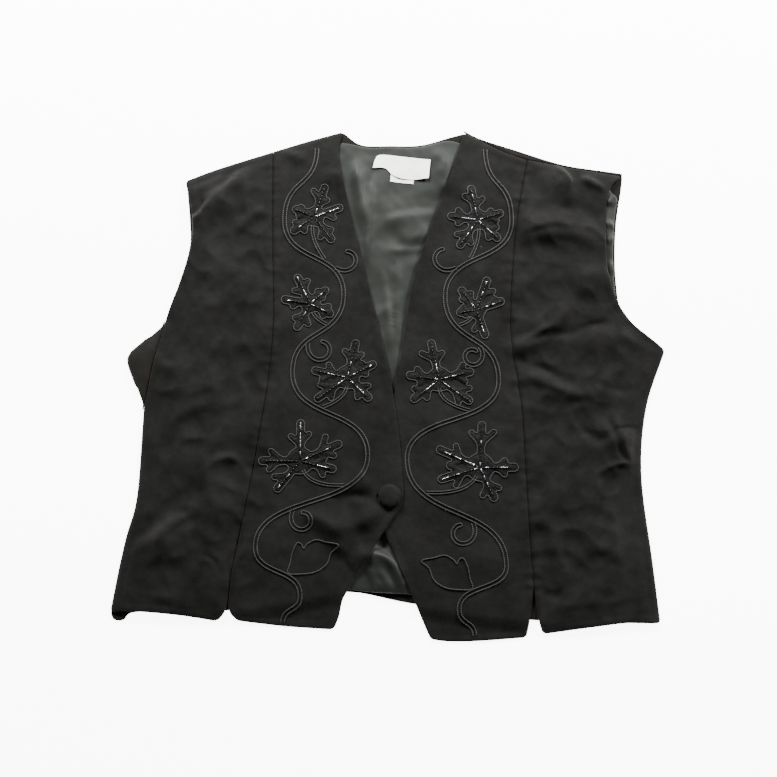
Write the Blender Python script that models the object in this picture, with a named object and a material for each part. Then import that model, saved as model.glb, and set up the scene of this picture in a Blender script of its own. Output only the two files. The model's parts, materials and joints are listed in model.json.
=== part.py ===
"""A woman's folk waistcoat in black velveteen, laid out flat on a table with its front side up.

The back lies on the table, its satin lining lies on it, and the four front panels lie on the lining.
Each front is a side panel and a centre panel, joined by a seam that opens into a slit at the hem.
The wearer's right front (at -X) laps over the left one and is held by one covered button. A vine of
twin cords with leaves, curls and a bud is sewn on each centre panel.

Blender 4.5, metres, +Z up, neck towards +Y. The tables and sizes below are in millimetres.
"""

import math

import bmesh
import bpy
import numpy as np

MM = 0.001
TABLE_CENTRE = (4.0, 9.64)

# Cloth and seams
GAP = 0.3
BACK_THICKNESS = 1.4
LINING_THICKNESS = 1.0
FRONT_THICKNESS = 1.6
LABEL_THICKNESS = 0.5
LINING_UNDER = BACK_THICKNESS + GAP
FRONT_UNDER = LINING_UNDER + LINING_THICKNESS + GAP
SEAM_UNDER = BACK_THICKNESS + GAP
SEAM_REACH = 12.0
LINING_AT_SEAM = 15.0
LINING_AT_EDGE = 2.5
LINING_AT_HEM = 5.0

# How the fronts lie: puffed up between the seams, over the hem, and over each other
LOFT = 2.5
LOFT_REACH = 45.0
LOFT_AT_HEM = 0.35
HEM_LOFT_REACH = 80.0
HEM_DROP_REACH = 15.0
LAP_CLEARANCE = 0.9
LAP_SLOPE = 16.0
LAP_FULL = 9.0

# The button
BUTTON_CENTRE = (4.0, -99.0)
BUTTON_RADIUS = 10.5
BUTTON_HEIGHT = 5.0
BUTTON_RIM = 1.6
BUTTON_TUCK = 1.2
BUTTON_FACETS = 24
SHANK_RADIUS = 1.8
BUTTONHOLE_LENGTH = 17.0
BUTTONHOLE_WIDTH = 4.6
BUTTONHOLE_SHIFT = -3.0

# The sewn work
CORD_WIDTH = 1.9
CORD_HEIGHT = 1.3
CORD_SPACING = 3.6
CORD_CLEARANCE = 0.6
BESIDE_VINE = CORD_SPACING / 2 + CORD_WIDTH + CORD_CLEARANCE
LEAF_THICKNESS = 0.9
LEAF_POINTS = 54
LEAF_RING = 0.5
LEAF_TIP_WEIGHT = 6.0
STEM_START = 9.0
STEM_BEND = 0.4
VINE_SWING = 1.8
VINE_SECTIONS = 92
VINE_STEPS = 400
SEAT_REACH = 3.0

# Edges of the solids that are steeper than this, in degrees, are shaded sharp
SHARP_FROM = 40

# Steps of a smooth curve between two of its points, before they are set evenly
CURVE_STEPS = 12

# Rows of cloth down a front panel, and columns across it
ARMHOLE_ROWS, UNDERARM_ROWS, SIDE_ROWS = 10, 6, 14
LEFT_ARMHOLE_ROWS, LEFT_SIDE_ROWS = 11, 19
SEAM_ROWS, SLIT_ROWS = 26, 4
NECK_ROWS, POINT_ROWS = 22, 8
SIDE_COLUMNS, CENTRE_COLUMNS = 9, 11
SHOULDER_STEPS = 16

# Least width of a strip of the back that comes over to the front
LEAST_TURN = 1.2

# Edges of the pieces as they lie, x and y, each a smooth curve through its points.
# "Right" and "left" are the wearer's.
EDGES = {
    # the right front
    "right shoulder, outer": [(-193, 200), (-162, 212), (-110, 229)],
    "right shoulder, inner": [(-110, 229), (-75, 240), (-43, 249)],
    "right armhole": [(-193, 200), (-185, 162), (-187, 128), (-209, 63)],
    "right side, upper": [(-209, 63), (-216, 33), (-227, -20)],
    "right side, lower": [(-227, -20), (-229, -100), (-242, -164), (-248, -204)],
    "right side hem": [(-248, -204), (-190, -207), (-152, -213)],
    "right seam": [(-110, 229), (-109, 142), (-108, 44), (-121, -56), (-143, -174)],
    "right slit, side": [(-143, -174), (-145, -200), (-152, -213)],
    "right slit, centre": [(-143, -174), (-141, -200), (-135, -212)],
    "right centre hem": [(-135, -212), (-94, -217), (-52, -221)],
    "right neck edge": [
        (-43, 249), (-46, 238), (-46, 216), (-29, 139), (-5, 40), (8, -30), (13, -82), (14, -98),
    ],
    "right point": [(14, -98), (12, -110), (1, -126), (-26, -168), (-46, -208), (-52, -221)],
    # the left front
    "left shoulder, inner": [(72, 248), (110, 228), (132, 220)],
    "left shoulder, outer": [(132, 220), (182, 211), (222, 204)],
    "left armhole": [(222, 204), (210, 192), (205, 162), (206, 108), (222, 67), (258, 36)],
    "left side": [(258, 36), (238, -19), (231, -82), (238, -161), (245, -214)],
    "left side hem": [(140, -224), (181, -218), (245, -214)],
    "left seam": [(132, 220), (120, 150), (114, 55), (123, -19), (128, -122), (132, -184)],
    "left slit, side": [(132, -184), (136, -214), (140, -224)],
    "left slit, centre": [(132, -184), (128, -214), (125, -227)],
    "left centre hem": [(42, -230), (77, -230), (125, -227)],
    "left neck edge": [(72, 248), (55, 193), (25, 108), (8, 7), (-19, -102)],
    "left point": [(-19, -102), (10, -165), (38, -226), (42, -230)],
    # the back
    "back neck": [(-43, 249), (-26, 236), (2, 235), (33, 236), (72, 248)],
    "back right armhole": [(-193, 200), (-188, 160), (-189, 128), (-209, 63)],
    "right underarm": [(-209, 63), (-229, 44), (-244, 29)],
    "right underarm fold": [(-244, 29), (-238, 10), (-227, -20)],
    "left shoulder fold": [(72, 248), (115, 234), (168, 217), (224, 207)],
    "back left armhole": [(224, 207), (215, 154), (214, 100), (222, 67), (258, 36)],
    "back hem": [
        (-250, -209), (-232, -205), (-144, -198), (-39, -188), (24, -199), (133, -211), (245, -214),
    ],
}

# Creases of the fronts. Each is a soft ridge from its start to its end. "bow" moves its middle to the
# left of its run, and a "lean" above 0 makes that side the steeper one.
FRONT_FOLDS = [
    # start x, y, end x, y, bow, height, width, lean
    (-130, 208, -184, 144, -4, 4.5, 13, 0.2),
    (-176, 196, -150, 160, 3, 2.5, 10, 0.0),
    (-152, 120, -118, 40, 8, 2.2, 18, 0.0),
    (-216, 20, -150, -10, 6, 2.0, 16, 0.1),
    (-150, -84, -222, -166, 5, 3.0, 18, 0.0),
    (-238, -142, -190, -147, 2, 2.4, 9, 0.3),
    (-182, -158, -186, -204, 2, 2.0, 11, 0.0),
    (-127, -132, -139, -190, 0, 2.6, 9, 0.3),
    (-66, 204, -42, 201, 1, 2.4, 9, 0.3),
    (121, 140, 204, 138, 8, 4.8, 11, -0.3),
    (150, 208, 174, 176, 5, 3.2, 9, 0.1),
    (113, 30, 172, 82, -5, 5.2, 10, -0.2),
    (176, 86, 214, 108, 4, 2.6, 12, 0.0),
    (118, 18, 222, -2, -5, 3.8, 12, 0.2),
    (170, 44, 240, 38, 4, 2.8, 13, 0.0),
    (206, -20, 226, -74, -5, 4.2, 10, 0.3),
    (196, -52, 238, -48, 2, 2.8, 9, -0.2),
    (150, -88, 204, -152, -6, 3.0, 15, 0.0),
    (158, -160, 162, -212, 3, 2.4, 13, 0.0),
    (60, 206, 72, 180, 2, 1.6, 9, 0.0),
    (60, -140, 96, -206, 5, 1.4, 18, 0.0),
]

# Creases that the button pulls in the right front's centre panel, and not in the left front below it
BUTTON_FOLDS = [
    # start x, y, end x, y, bow, height, width, lean
    (-4, -112, -60, -130, 6, 4.0, 10, 0.2),
    (-12, -90, -52, -100, -4, 2.6, 9, 0.0),
    (-72, -118, -30, -152, 4, 2.6, 9, 0.1),
]

# Creases of the lining, where the neck and the hem show it
LINING_FOLDS = [
    # start x, y, end x, y, bow, height, width, lean
    (-26, 222, -24, 150, -3, 3.0, 8, 0.0),
    (-8, 216, -26, 104, 2, 2.6, 12, -0.5),
    (-2, 158, 34, 158, 2, 1.6, 8, 0.0),
    (8, 146, 42, 150, -3, 2.6, 9, -0.3),
    (44, 232, 52, 186, 3, 2.2, 10, 0.0),
    (-12, 98, 6, -10, 3, 1.6, 11, 0.0),
    (-26, -150, 14, -188, 10, 4.0, 9, 0.2),
    (-8, -150, -4, -190, -2, 3.2, 8, 0.0),
    (-34, -168, -16, -152, 2, 2.4, 8, 0.0),
]

# Each vine swings from side to side down its panel: where it starts, the outermost point of each
# bend, and where it ends
VINE_BENDS = {
    "right": [
        (-68, 231), (-98, 160), (-42, 88), (-89, 14), (-19, -64), (-121, -148), (-80, -192), (-95, -213),
    ],
    "left": [
        (92, 230), (116, 160), (53, 86), (102, 6), (17, -67), (107, -165), (64, -204), (76, -224),
    ],
}

# Leaves, and where each stem meets the vine: 2.5 is half way from the second bend to the third
LEAVES = {
    # centre x, y, length, which way it points in degrees, stem at
    "right": [
        (-70, 160, 37, 78, 1.62),
        (-72, 78, 34, 104, 2.36),
        (-39, 9, 35, 83, 3.42),
        (-80, -68, 37, 110, 4.28),
    ],
    "left": [
        (84, 154, 38, 97, 1.58),
        (82, 74, 33, 76, 2.30),
        (48, 4, 38, 97, 3.36),
        (82, -76, 40, 80, 4.26),
    ],
}

# A leaf's lobes
LOBES = [
    # turn from the middle lobe in degrees, share of the leaf's length, half width
    (0, 1.00, 4.6),
    (62, 0.86, 4.8),
    (-62, 0.86, 4.8),
    (124, 0.84, 4.8),
    (-124, 0.84, 4.8),
    (30, 0.56, 4.4),
    (-30, 0.56, 4.4),
    (92, 0.50, 4.4),
    (-92, 0.50, 4.4),
    (180, 0.22, 5.0),
]

# Curls that grow from a vine on the inner side of its bends, mirrored on the left front
CURLS = [
    # at, lean away from the vine, turn, length
    (1.72, 12, 190, 38),
    (2.70, 40, 240, 31),
    (4.66, 45, 240, 38),
]

# The bud on each vine: its outline from its foot, along and across its axis
BUD_AT = 5.74
BUD_TURN = 36
BUD_OUTLINE = [
    (3, 2), (9, 12), (20, 18), (26, 11), (36, 14), (53, 1), (40, -4), (31, -13), (14, -11), (5, -3),
]

# The neck label, and the small size label under its lower edge
LABEL_TOP = [(-13, 220), (-8, 225), (14, 223), (40, 220)]
LABEL_BOTTOM = [(-15, 212), (-2, 213), (8, 206), (38, 203)]
SIZE_LABEL_CENTRE = (13.0, 202.0)
SIZE_LABEL_SIZE = (22.0, 9.0)
SIZE_LABEL_TURN = -5

FINISHES = {
    # red, green, blue, roughness
    "velveteen": (0.020, 0.018, 0.017, 0.90),
    "back_cloth": (0.024, 0.020, 0.018, 0.90),
    "satin": (0.085, 0.095, 0.085, 0.35),
    "cord": (0.055, 0.052, 0.050, 0.60),
    "stitched_leaf": (0.030, 0.028, 0.027, 0.80),
    "label_tape": (0.850, 0.850, 0.800, 0.60),
}


def clear_scene():
    for thing in list(bpy.data.objects):
        bpy.data.objects.remove(thing)


def finish_of(name):
    """The Principled BSDF of a cloth, made the first time it is asked for."""
    found = bpy.data.materials.get(name)
    if found:
        return found
    made = bpy.data.materials.new(name)
    made.use_nodes = True
    red, green, blue, roughness = FINISHES[name]
    shader = made.node_tree.nodes["Principled BSDF"]
    shader.inputs["Base Color"].default_value = (red, green, blue, 1.0)
    shader.inputs["Roughness"].default_value = roughness
    shader.inputs["Metallic"].default_value = 0.0
    return made


def smoothstep(t):
    t = np.clip(t, 0.0, 1.0)
    return t * t * (3.0 - 2.0 * t)


def evenly(points, steps, extra=None):
    """A polyline's points set evenly along it. "extra" adds weight to each of its stretches."""
    stretch = np.linalg.norm(np.diff(points, axis=0), axis=1)
    if extra is not None:
        stretch = stretch + extra
    run = np.concatenate([[0.0], np.cumsum(stretch)])
    wanted = np.linspace(0.0, run[-1], steps + 1)
    return np.stack([np.interp(wanted, run, points[:, k]) for k in (0, 1)], axis=1)


def smooth_curve(points, steps, closed=False):
    """Points evenly set on a Catmull-Rom curve through the given ones."""
    given = np.array(points, float)
    if closed:
        held = np.concatenate([given[-1:], given, given[:2]])
    else:
        held = np.concatenate([2 * given[:1] - given[1:2], given, 2 * given[-1:] - given[-2:-1]])
    t = np.linspace(0.0, 1.0, CURVE_STEPS, endpoint=False)[:, None]
    pieces = []
    for a, b, c, d in zip(held, held[1:], held[2:], held[3:]):
        bent = (2 * a - 5 * b + 4 * c - d) * t**2 + (3 * b - a - 3 * c + d) * t**3
        pieces.append(0.5 * (2 * b + (c - a) * t + bent))
    last = given[:1] if closed else given[-1:]
    return evenly(np.concatenate(pieces + [last]), steps)


def edge(*parts):
    """Named edges end to end, each with its number of rows or columns."""
    curves = [smooth_curve(EDGES[name], steps) for name, steps in parts]
    return np.concatenate([curves[0]] + [curve[1:] for curve in curves[1:]])


def left_of(curve, closed=False):
    """Unit vectors to the left of a path's run, at each of its points."""
    if closed:
        run = np.roll(curve, -1, axis=0) - np.roll(curve, 1, axis=0)
    else:
        run = np.gradient(curve, axis=0)
    run = run / np.linalg.norm(run, axis=1, keepdims=True)
    return np.stack([-run[:, 1], run[:, 0]], axis=1)


def coons(top, bottom, left, right):
    """The grid between four edges: the two ruled surfaces added, less the bilinear one."""
    v = np.linspace(0.0, 1.0, len(left))[:, None, None]
    u = np.linspace(0.0, 1.0, len(top))[None, :, None]
    across = (1 - v) * top[None] + v * bottom[None]
    down = (1 - u) * left[:, None] + u * right[:, None]
    corners = (1 - u) * (1 - v) * top[0] + u * (1 - v) * top[-1]
    corners = corners + (1 - u) * v * bottom[0] + u * v * bottom[-1]
    return across + down - corners


def distance(x, y, curve):
    """How far each point is from a polyline."""
    nearest = np.full(np.shape(x), np.inf)
    for (ax, ay), (bx, by) in zip(curve, curve[1:]):
        run_x, run_y = bx - ax, by - ay
        t = np.clip(((x - ax) * run_x + (y - ay) * run_y) / (run_x**2 + run_y**2), 0.0, 1.0)
        nearest = np.minimum(nearest, np.hypot(x - ax - t * run_x, y - ay - t * run_y))
    return nearest


def relief(x, y, folds):
    """The soft ridges of a table added up: a bell across each, which fades out at both ends."""
    total = np.zeros(np.shape(x))
    for ax, ay, bx, by, bow, height, width, lean in folds:
        length = math.hypot(bx - ax, by - ay)
        run_x, run_y = (bx - ax) / length, (by - ay) / length
        t = ((x - ax) * run_x + (y - ay) * run_y) / length
        side = (y - ay) * run_x - (x - ax) * run_y - bow * 4 * t * (1 - t)
        spread = width * np.where(side > 0, 1 - lean, 1 + lean)
        ends = smoothstep((t + 0.1) / 0.35) * smoothstep((1.1 - t) / 0.35)
        total += height * ends * np.exp(-((side / spread) ** 2))
    return total


SEWN_EDGES = [
    edge(("right shoulder, outer", 6), ("right shoulder, inner", 6)),
    edge(("right underarm", 4), ("right underarm fold", 5), ("right side, lower", 10)),
    edge(("left shoulder fold", 12)),
    edge(("left side", 16)),
]
BACK_HEM = edge(("back hem", 60))
LEFT_FRONT_EDGE = edge(("left neck edge", 30), ("left point", 12))[::-1]


def from_seams(x, y):
    return np.min([distance(x, y, curve) for curve in SEWN_EDGES], axis=0)


def past_hem(x, y):
    return np.interp(x, BACK_HEM[:, 0], BACK_HEM[:, 1]) - y


def lining_under(x, y):
    return LINING_UNDER + relief(x, y, LINING_FOLDS)


def front_under(x, y):
    """Height of a front's underside. It comes down to the back at the sewn edges, is puffed up
    between them, and lies on the table where it hangs past the back's hem."""
    sewn = from_seams(x, y)
    at_hem = smoothstep(LOFT_AT_HEM - past_hem(x, y) / HEM_LOFT_REACH)
    puff = LOFT * smoothstep(sewn / LOFT_REACH) * at_hem
    creases = relief(x, y, FRONT_FOLDS) + relief(x, y, LINING_FOLDS)
    risen = FRONT_UNDER - SEAM_UNDER + puff + creases
    height = SEAM_UNDER + risen * smoothstep(sewn / SEAM_REACH)
    return height * (1 - smoothstep((past_hem(x, y) - GAP) / HEM_DROP_REACH))


def right_centre_under(x, y):
    """The same, raised where the right front laps over the left one."""
    left_edge = np.interp(y, LEFT_FRONT_EDGE[:, 1], LEFT_FRONT_EDGE[:, 0])
    lapped = smoothstep((x - left_edge + LAP_FULL + LAP_SLOPE) / LAP_SLOPE)
    pulled = relief(x, y, BUTTON_FOLDS) * (1 - smoothstep(past_hem(x, y) / HEM_DROP_REACH))
    return front_under(x, y) + (FRONT_THICKNESS + LAP_CLEARANCE) * lapped + pulled


def add_solid(name, points, faces, finish):
    """One closed mesh object from points in millimetres, with its faces turned outwards."""
    points = (np.asarray(points) - [TABLE_CENTRE[0], TABLE_CENTRE[1], 0.0]) * MM
    mesh = bpy.data.meshes.new(name)
    mesh.from_pydata(points.tolist(), [], faces)
    shape = bmesh.new()
    shape.from_mesh(mesh)
    bmesh.ops.recalc_face_normals(shape, faces=shape.faces)
    shape.to_mesh(mesh)
    shape.free()
    mesh.materials.append(finish_of(finish))
    mesh.shade_smooth()
    mesh.set_sharp_from_angle(angle=math.radians(SHARP_FROM))
    solid = bpy.data.objects.new(name, mesh)
    bpy.context.scene.collection.objects.link(solid)
    return solid


def grid_faces(rows, columns, start=0):
    """Two triangles for each cell of a grid of points."""
    faces = []
    for row in range(rows - 1):
        for column in range(columns - 1):
            a = start + row * columns + column
            b, c, d = a + 1, a + columns + 1, a + columns
            faces += [(a, b, c), (a, c, d)]
    return faces


def grid_border(rows, columns):
    """The outermost points of a grid, in order round it."""
    top = list(range(columns))
    right = [row * columns + columns - 1 for row in range(1, rows)]
    bottom = [(rows - 1) * columns + column for column in range(columns - 2, -1, -1)]
    left = [row * columns for row in range(rows - 2, 0, -1)]
    return top + right + bottom + left


def cloth(name, grid, under, thickness, finish):
    """A wall of cloth over a grid, and its top side as triangles for what is sewn on it."""
    rows, columns = grid.shape[:2]
    x, y = grid[..., 0].ravel(), grid[..., 1].ravel()
    low = under(x, y)
    count = rows * columns
    upper = np.column_stack([x, y, low + thickness])
    points = np.concatenate([np.column_stack([x, y, low]), upper])
    faces = grid_faces(rows, columns) + grid_faces(rows, columns, count)
    rim = grid_border(rows, columns)
    for a, b in zip(rim, rim[1:] + rim[:1]):
        faces += [(a, b, b + count), (a, b + count, a + count)]
    solid = add_solid(name, points, faces, finish)
    return solid, upper[np.array(grid_faces(rows, columns))]


def slab(name, outline, low, high, finish):
    """A flat panel cut to an outline."""
    count = len(outline)
    points = [(x, y, z) for z in (low, high) for x, y in outline]
    faces = [tuple(range(count)), tuple(range(count, 2 * count))]
    for a in range(count):
        b = (a + 1) % count
        faces.append((a, b, b + count, a + count))
    return add_solid(name, points, faces, finish)


def cloth_height(triangles, x, y):
    """The height of a cloth's facets over each point, in barycentric coordinates of its triangle."""
    a, b, c = (triangles[None, :, k] for k in range(3))
    x, y = np.asarray(x, float)[:, None], np.asarray(y, float)[:, None]
    ab, ac = b - a, c - a
    off_x, off_y = x - a[..., 0], y - a[..., 1]
    whole = ab[..., 0] * ac[..., 1] - ac[..., 0] * ab[..., 1]
    share_b = (off_x * ac[..., 1] - ac[..., 0] * off_y) / whole
    share_c = (ab[..., 0] * off_y - off_x * ab[..., 1]) / whole
    shares = np.stack([1 - share_b - share_c, share_b, share_c], axis=-1)
    best = np.argmax(shares.min(axis=-1), axis=1)
    rows = np.arange(len(best))
    return (shares[rows, best] * triangles[best][:, :, 2]).sum(axis=1)


def seat(triangles, points, reach=SEAT_REACH):
    """The lowest height at which a sewn-on piece clears the cloth within reach of each point."""
    points = np.asarray(points, float)
    moves = [(0, 0), (reach, 0), (-reach, 0), (0, reach), (0, -reach)]
    over = [cloth_height(triangles, points[:, 0] + dx, points[:, 1] + dy) for dx, dy in moves]
    return np.max(over, axis=0) + GAP


def vine_point(side, at):
    """Where the vine is at a bend number. From one bend to the next it is a Hermite curve whose two
    ends run straight down the panel."""
    bends = np.array(VINE_BENDS[side], float)
    at = np.atleast_1d(at)
    before = np.minimum(at.astype(int), len(bends) - 2)
    t = (at - before)[:, None]
    a, b = bends[before], bends[before + 1]
    pull = (b - a) * [0.0, VINE_SWING]
    return a + (b - a) * smoothstep(t) + pull * t * (1 - t) * (1 - 2 * t)


def vine_path(side):
    return vine_point(side, np.linspace(0.0, len(VINE_BENDS[side]) - 1.001, VINE_STEPS))


def beside_vine(side, at, towards=None):
    """A point beside the vine and the vine's heading there. It is on the side of the front's edge, or
    on the side of the point that "towards" gives."""
    before, here, after = vine_point(side, np.array([at - 0.01, at, at + 0.01]))
    run = (after - before) / np.linalg.norm(after - before)
    aside = np.array([-run[1], run[0]])
    if towards is None:
        sign = 1 if side == "right" else -1
    else:
        sign = np.sign(aside @ (np.asarray(towards) - here))
    return here + BESIDE_VINE * sign * aside, math.atan2(run[1], run[0])


def braid(name, curve, profile, triangles, closed=False):
    """Cord laid along a path: a profile of side offsets and heights carried along it."""
    side = left_of(curve, closed)
    reach = profile[-1][0]
    base = np.max([seat(triangles, curve + side * offset) for offset in (-reach, 0.0, reach)], axis=0)
    rings = [np.column_stack([curve + side * offset, base + height]) for offset, height in profile]
    points = np.stack(rings, axis=1).reshape(-1, 3)
    count, sections = len(profile), len(curve)
    faces = []
    for section in range(sections if closed else sections - 1):
        here, there = section * count, (section + 1) % sections * count
        for k in range(count):
            m = (k + 1) % count
            faces += [(here + k, here + m, there + m), (here + k, there + m, there + k)]
    if not closed:
        last = (sections - 1) * count
        faces += [tuple(range(count)), tuple(range(last, last + count))]
    return add_solid(name, points, faces, "cord")


def twin_profile():
    """Two cords side by side, as one section with a groove between them."""
    middle, half = CORD_SPACING / 2, CORD_WIDTH / 2
    return [(-middle - half, 0.0), (-middle, CORD_HEIGHT), (0.0, 0.4 * CORD_HEIGHT),
            (middle, CORD_HEIGHT), (middle + half, 0.0)]


def single_profile():
    half = CORD_WIDTH / 2
    return [(-half, 0.0), (-0.5 * half, CORD_HEIGHT), (0.5 * half, CORD_HEIGHT), (half, 0.0)]


def lobe_reaches(side, x, y, length, points_to):
    """How far each lobe of a leaf reaches. One that would meet the vine stops short of it."""
    vine = vine_path(side)
    reaches = []
    for turn, share, half in LOBES:
        angle = math.radians(points_to + turn)
        clear = half + CORD_SPACING / 2 + CORD_WIDTH / 2 + CORD_CLEARANCE
        reach = share * length - half
        while reach > half:
            tip = np.array([x + reach * math.cos(angle), y + reach * math.sin(angle)])
            if np.linalg.norm(vine - tip, axis=1).min() > clear:
                break
            reach -= GAP
        reaches.append(reach)
    return reaches


def leaf_outline(reaches):
    """A leaf round the origin, pointing along +X. Each lobe is a bar with a round end that starts at
    the middle, and the outline is the furthest of them in each direction."""
    angle = np.linspace(0.0, 2 * math.pi, 1440, endpoint=False)
    furthest = np.zeros(len(angle))
    for (turn, _, half), reach in zip(LOBES, reaches):
        off = (angle - math.radians(turn) + math.pi) % (2 * math.pi) - math.pi
        aside = np.abs(np.sin(off))
        round_end = reach * np.cos(off) + np.sqrt(np.maximum(half**2 - (reach * aside) ** 2, 0.0))
        flank = half / np.maximum(aside, 1e-6)
        bar = np.where(aside * reach < half, np.minimum(round_end, flank), flank)
        furthest = np.maximum(furthest, np.where(np.cos(off) > 0, bar, half))
    outline = np.stack([np.cos(angle), np.sin(angle)], axis=1) * furthest[:, None]
    looped = np.concatenate([outline, outline[:1]])
    run = np.diff(looped, axis=0)
    heading = np.unwrap(np.arctan2(run[:, 1], run[:, 0]))
    turning = np.abs(np.diff(heading, append=heading[:1] + 2 * math.pi))
    return evenly(looped, LEAF_POINTS, LEAF_TIP_WEIGHT * np.minimum(turning, 1.0))[:-1]


def leaf(name, side, x, y, length, points_to, triangles):
    """A leaf as a thin pad on the cloth: its middle, a ring half way out, and its outline."""
    turn = math.radians(points_to)
    turned = np.array([[math.cos(turn), math.sin(turn)], [-math.sin(turn), math.cos(turn)]])
    outline = leaf_outline(lobe_reaches(side, x, y, length, points_to)) @ turned
    flat = np.concatenate([[[0.0, 0.0]], outline * LEAF_RING, outline]) + [x, y]
    low = seat(triangles, flat)
    count = len(flat)
    points = np.concatenate([
        np.column_stack([flat, low]),
        np.column_stack([flat, low + LEAF_THICKNESS]),
    ])
    faces = []
    for k in range(LEAF_POINTS):
        m = (k + 1) % LEAF_POINTS
        inner, inner_next = 1 + k, 1 + m
        outer, outer_next = inner + LEAF_POINTS, inner_next + LEAF_POINTS
        for layer in (0, count):
            faces += [(layer, layer + inner, layer + inner_next),
                      (layer + inner, layer + outer, layer + outer_next),
                      (layer + inner, layer + outer_next, layer + inner_next)]
        faces += [(outer, outer_next, outer_next + count), (outer, outer_next + count, outer + count)]
    return add_solid(name, points, faces, "stitched_leaf")


def stem(name, side, x, y, points_to, at, triangles):
    """The stem leaves the leaf opposite its middle lobe and bends over to the side of the vine."""
    base = math.radians(points_to + 180)
    away = np.array([math.cos(base), math.sin(base)])
    start = np.array([x, y]) + away * STEM_START
    beside, _ = beside_vine(side, at, (x, y))
    control = start + away * STEM_BEND * np.linalg.norm(beside - start)
    t = np.linspace(0.0, 1.0, 6)[:, None]
    path = (1 - t) ** 2 * start + 2 * t * (1 - t) * control + t**2 * beside
    return braid(name, path, single_profile(), triangles)


def curl(name, side, at, lean, turn, length, triangles):
    """A tendril that leaves the vine and turns round ever faster."""
    start, heading = beside_vine(side, at)
    sign = 1 if side == "right" else -1
    t = np.linspace(0.0, 1.0, 10)
    angles = heading + sign * np.radians(lean + turn * t**1.3)
    steps = np.stack([np.cos(angles), np.sin(angles)], axis=1) * length / len(t)
    path = start + np.concatenate([[[0.0, 0.0]], np.cumsum(steps, axis=0)])
    return braid(name, path, single_profile(), triangles)


def bud(name, side, triangles):
    foot, _ = beside_vine(side, BUD_AT)
    mirror = 1 if side == "right" else -1
    turn = math.radians(BUD_TURN)
    shape = smooth_curve(BUD_OUTLINE, 34, closed=True)[:-1]
    along, across = shape[:, 0], shape[:, 1]
    turned_x = along * math.cos(turn) - across * math.sin(turn)
    turned_y = along * math.sin(turn) + across * math.cos(turn)
    path = foot + np.stack([mirror * turned_x, turned_y], axis=1)
    return braid(name, path, single_profile(), triangles, closed=True)


def sewn_work(side, triangles):
    """Everything sewn on one centre panel."""
    braid(f"{side}_vine", evenly(vine_path(side), VINE_SECTIONS), twin_profile(), triangles)
    for number, (x, y, length, points_to, stem_at) in enumerate(LEAVES[side], 1):
        leaf(f"{side}_leaf_{number}", side, x, y, length, points_to, triangles)
        stem(f"{side}_stem_{number}", side, x, y, points_to, stem_at, triangles)
    for number, (at, lean, turn, length) in enumerate(CURLS, 1):
        curl(f"{side}_curl_{number}", side, at, lean, turn, length, triangles)
    bud(f"{side}_bud", side, triangles)


def button(low_cloth, high_cloth):
    """A covered button, turned from its profile. Its shank goes down through the buttonhole to the
    left front."""
    x, y = BUTTON_CENTRE
    angles = np.linspace(0.0, 2 * math.pi, 9)
    rings = (0.0, BUTTON_RADIUS / 2, BUTTON_RADIUS)
    spots = [(x + r * math.cos(a), y + r * math.sin(a)) for r in rings for a in angles]
    under = seat(high_cloth, spots, 0.0).max()
    foot = seat(low_cloth, [(x, y)], SHANK_RADIUS).max()
    crown = BUTTON_HEIGHT - BUTTON_RIM
    profile = [(BUTTON_RADIUS * math.sin(t), under + BUTTON_RIM + crown * math.cos(t))
               for t in np.linspace(0.0, math.pi / 2, 7)]
    profile += [(BUTTON_RADIUS - BUTTON_TUCK, under), (SHANK_RADIUS, under + GAP)]
    profile += [(SHANK_RADIUS, foot), (0.0, foot)]
    mesh = bpy.data.meshes.new("button")
    points = [(radius * MM, 0.0, height * MM) for radius, height in profile]
    mesh.from_pydata(points, [(k, k + 1) for k in range(len(points) - 1)], [])
    mesh.materials.append(finish_of("velveteen"))
    turned = bpy.data.objects.new("button", mesh)
    turned.location = ((x - TABLE_CENTRE[0]) * MM, (y - TABLE_CENTRE[1]) * MM, 0.0)
    bpy.context.scene.collection.objects.link(turned)
    screw = turned.modifiers.new("turned", "SCREW")
    screw.steps = BUTTON_FACETS
    screw.render_steps = BUTTON_FACETS
    screw.use_merge_vertices = True
    screw.merge_threshold = 0.00001
    return turned


def cut_buttonhole(panel):
    """The slot for the shank: a cutter with round ends, across the front's edge."""
    x, y = BUTTON_CENTRE
    radius = BUTTONHOLE_WIDTH / 2
    straight = BUTTONHOLE_LENGTH / 2 - radius
    outline = []
    for middle, start in ((straight, -math.pi / 2), (-straight, math.pi / 2)):
        for t in start + np.linspace(0.0, math.pi, 6):
            along = x + BUTTONHOLE_SHIFT + middle + radius * math.cos(t)
            outline.append((along, y + radius * math.sin(t)))
    cutter = slab("buttonhole_cutter", outline, -10.0, 40.0, "velveteen")
    cutter.hide_render = True
    cutter.display_type = "WIRE"
    cut = panel.modifiers.new("buttonhole", "BOOLEAN")
    cut.object = cutter
    cut.operation = "DIFFERENCE"
    cut.solver = "EXACT"


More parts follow.
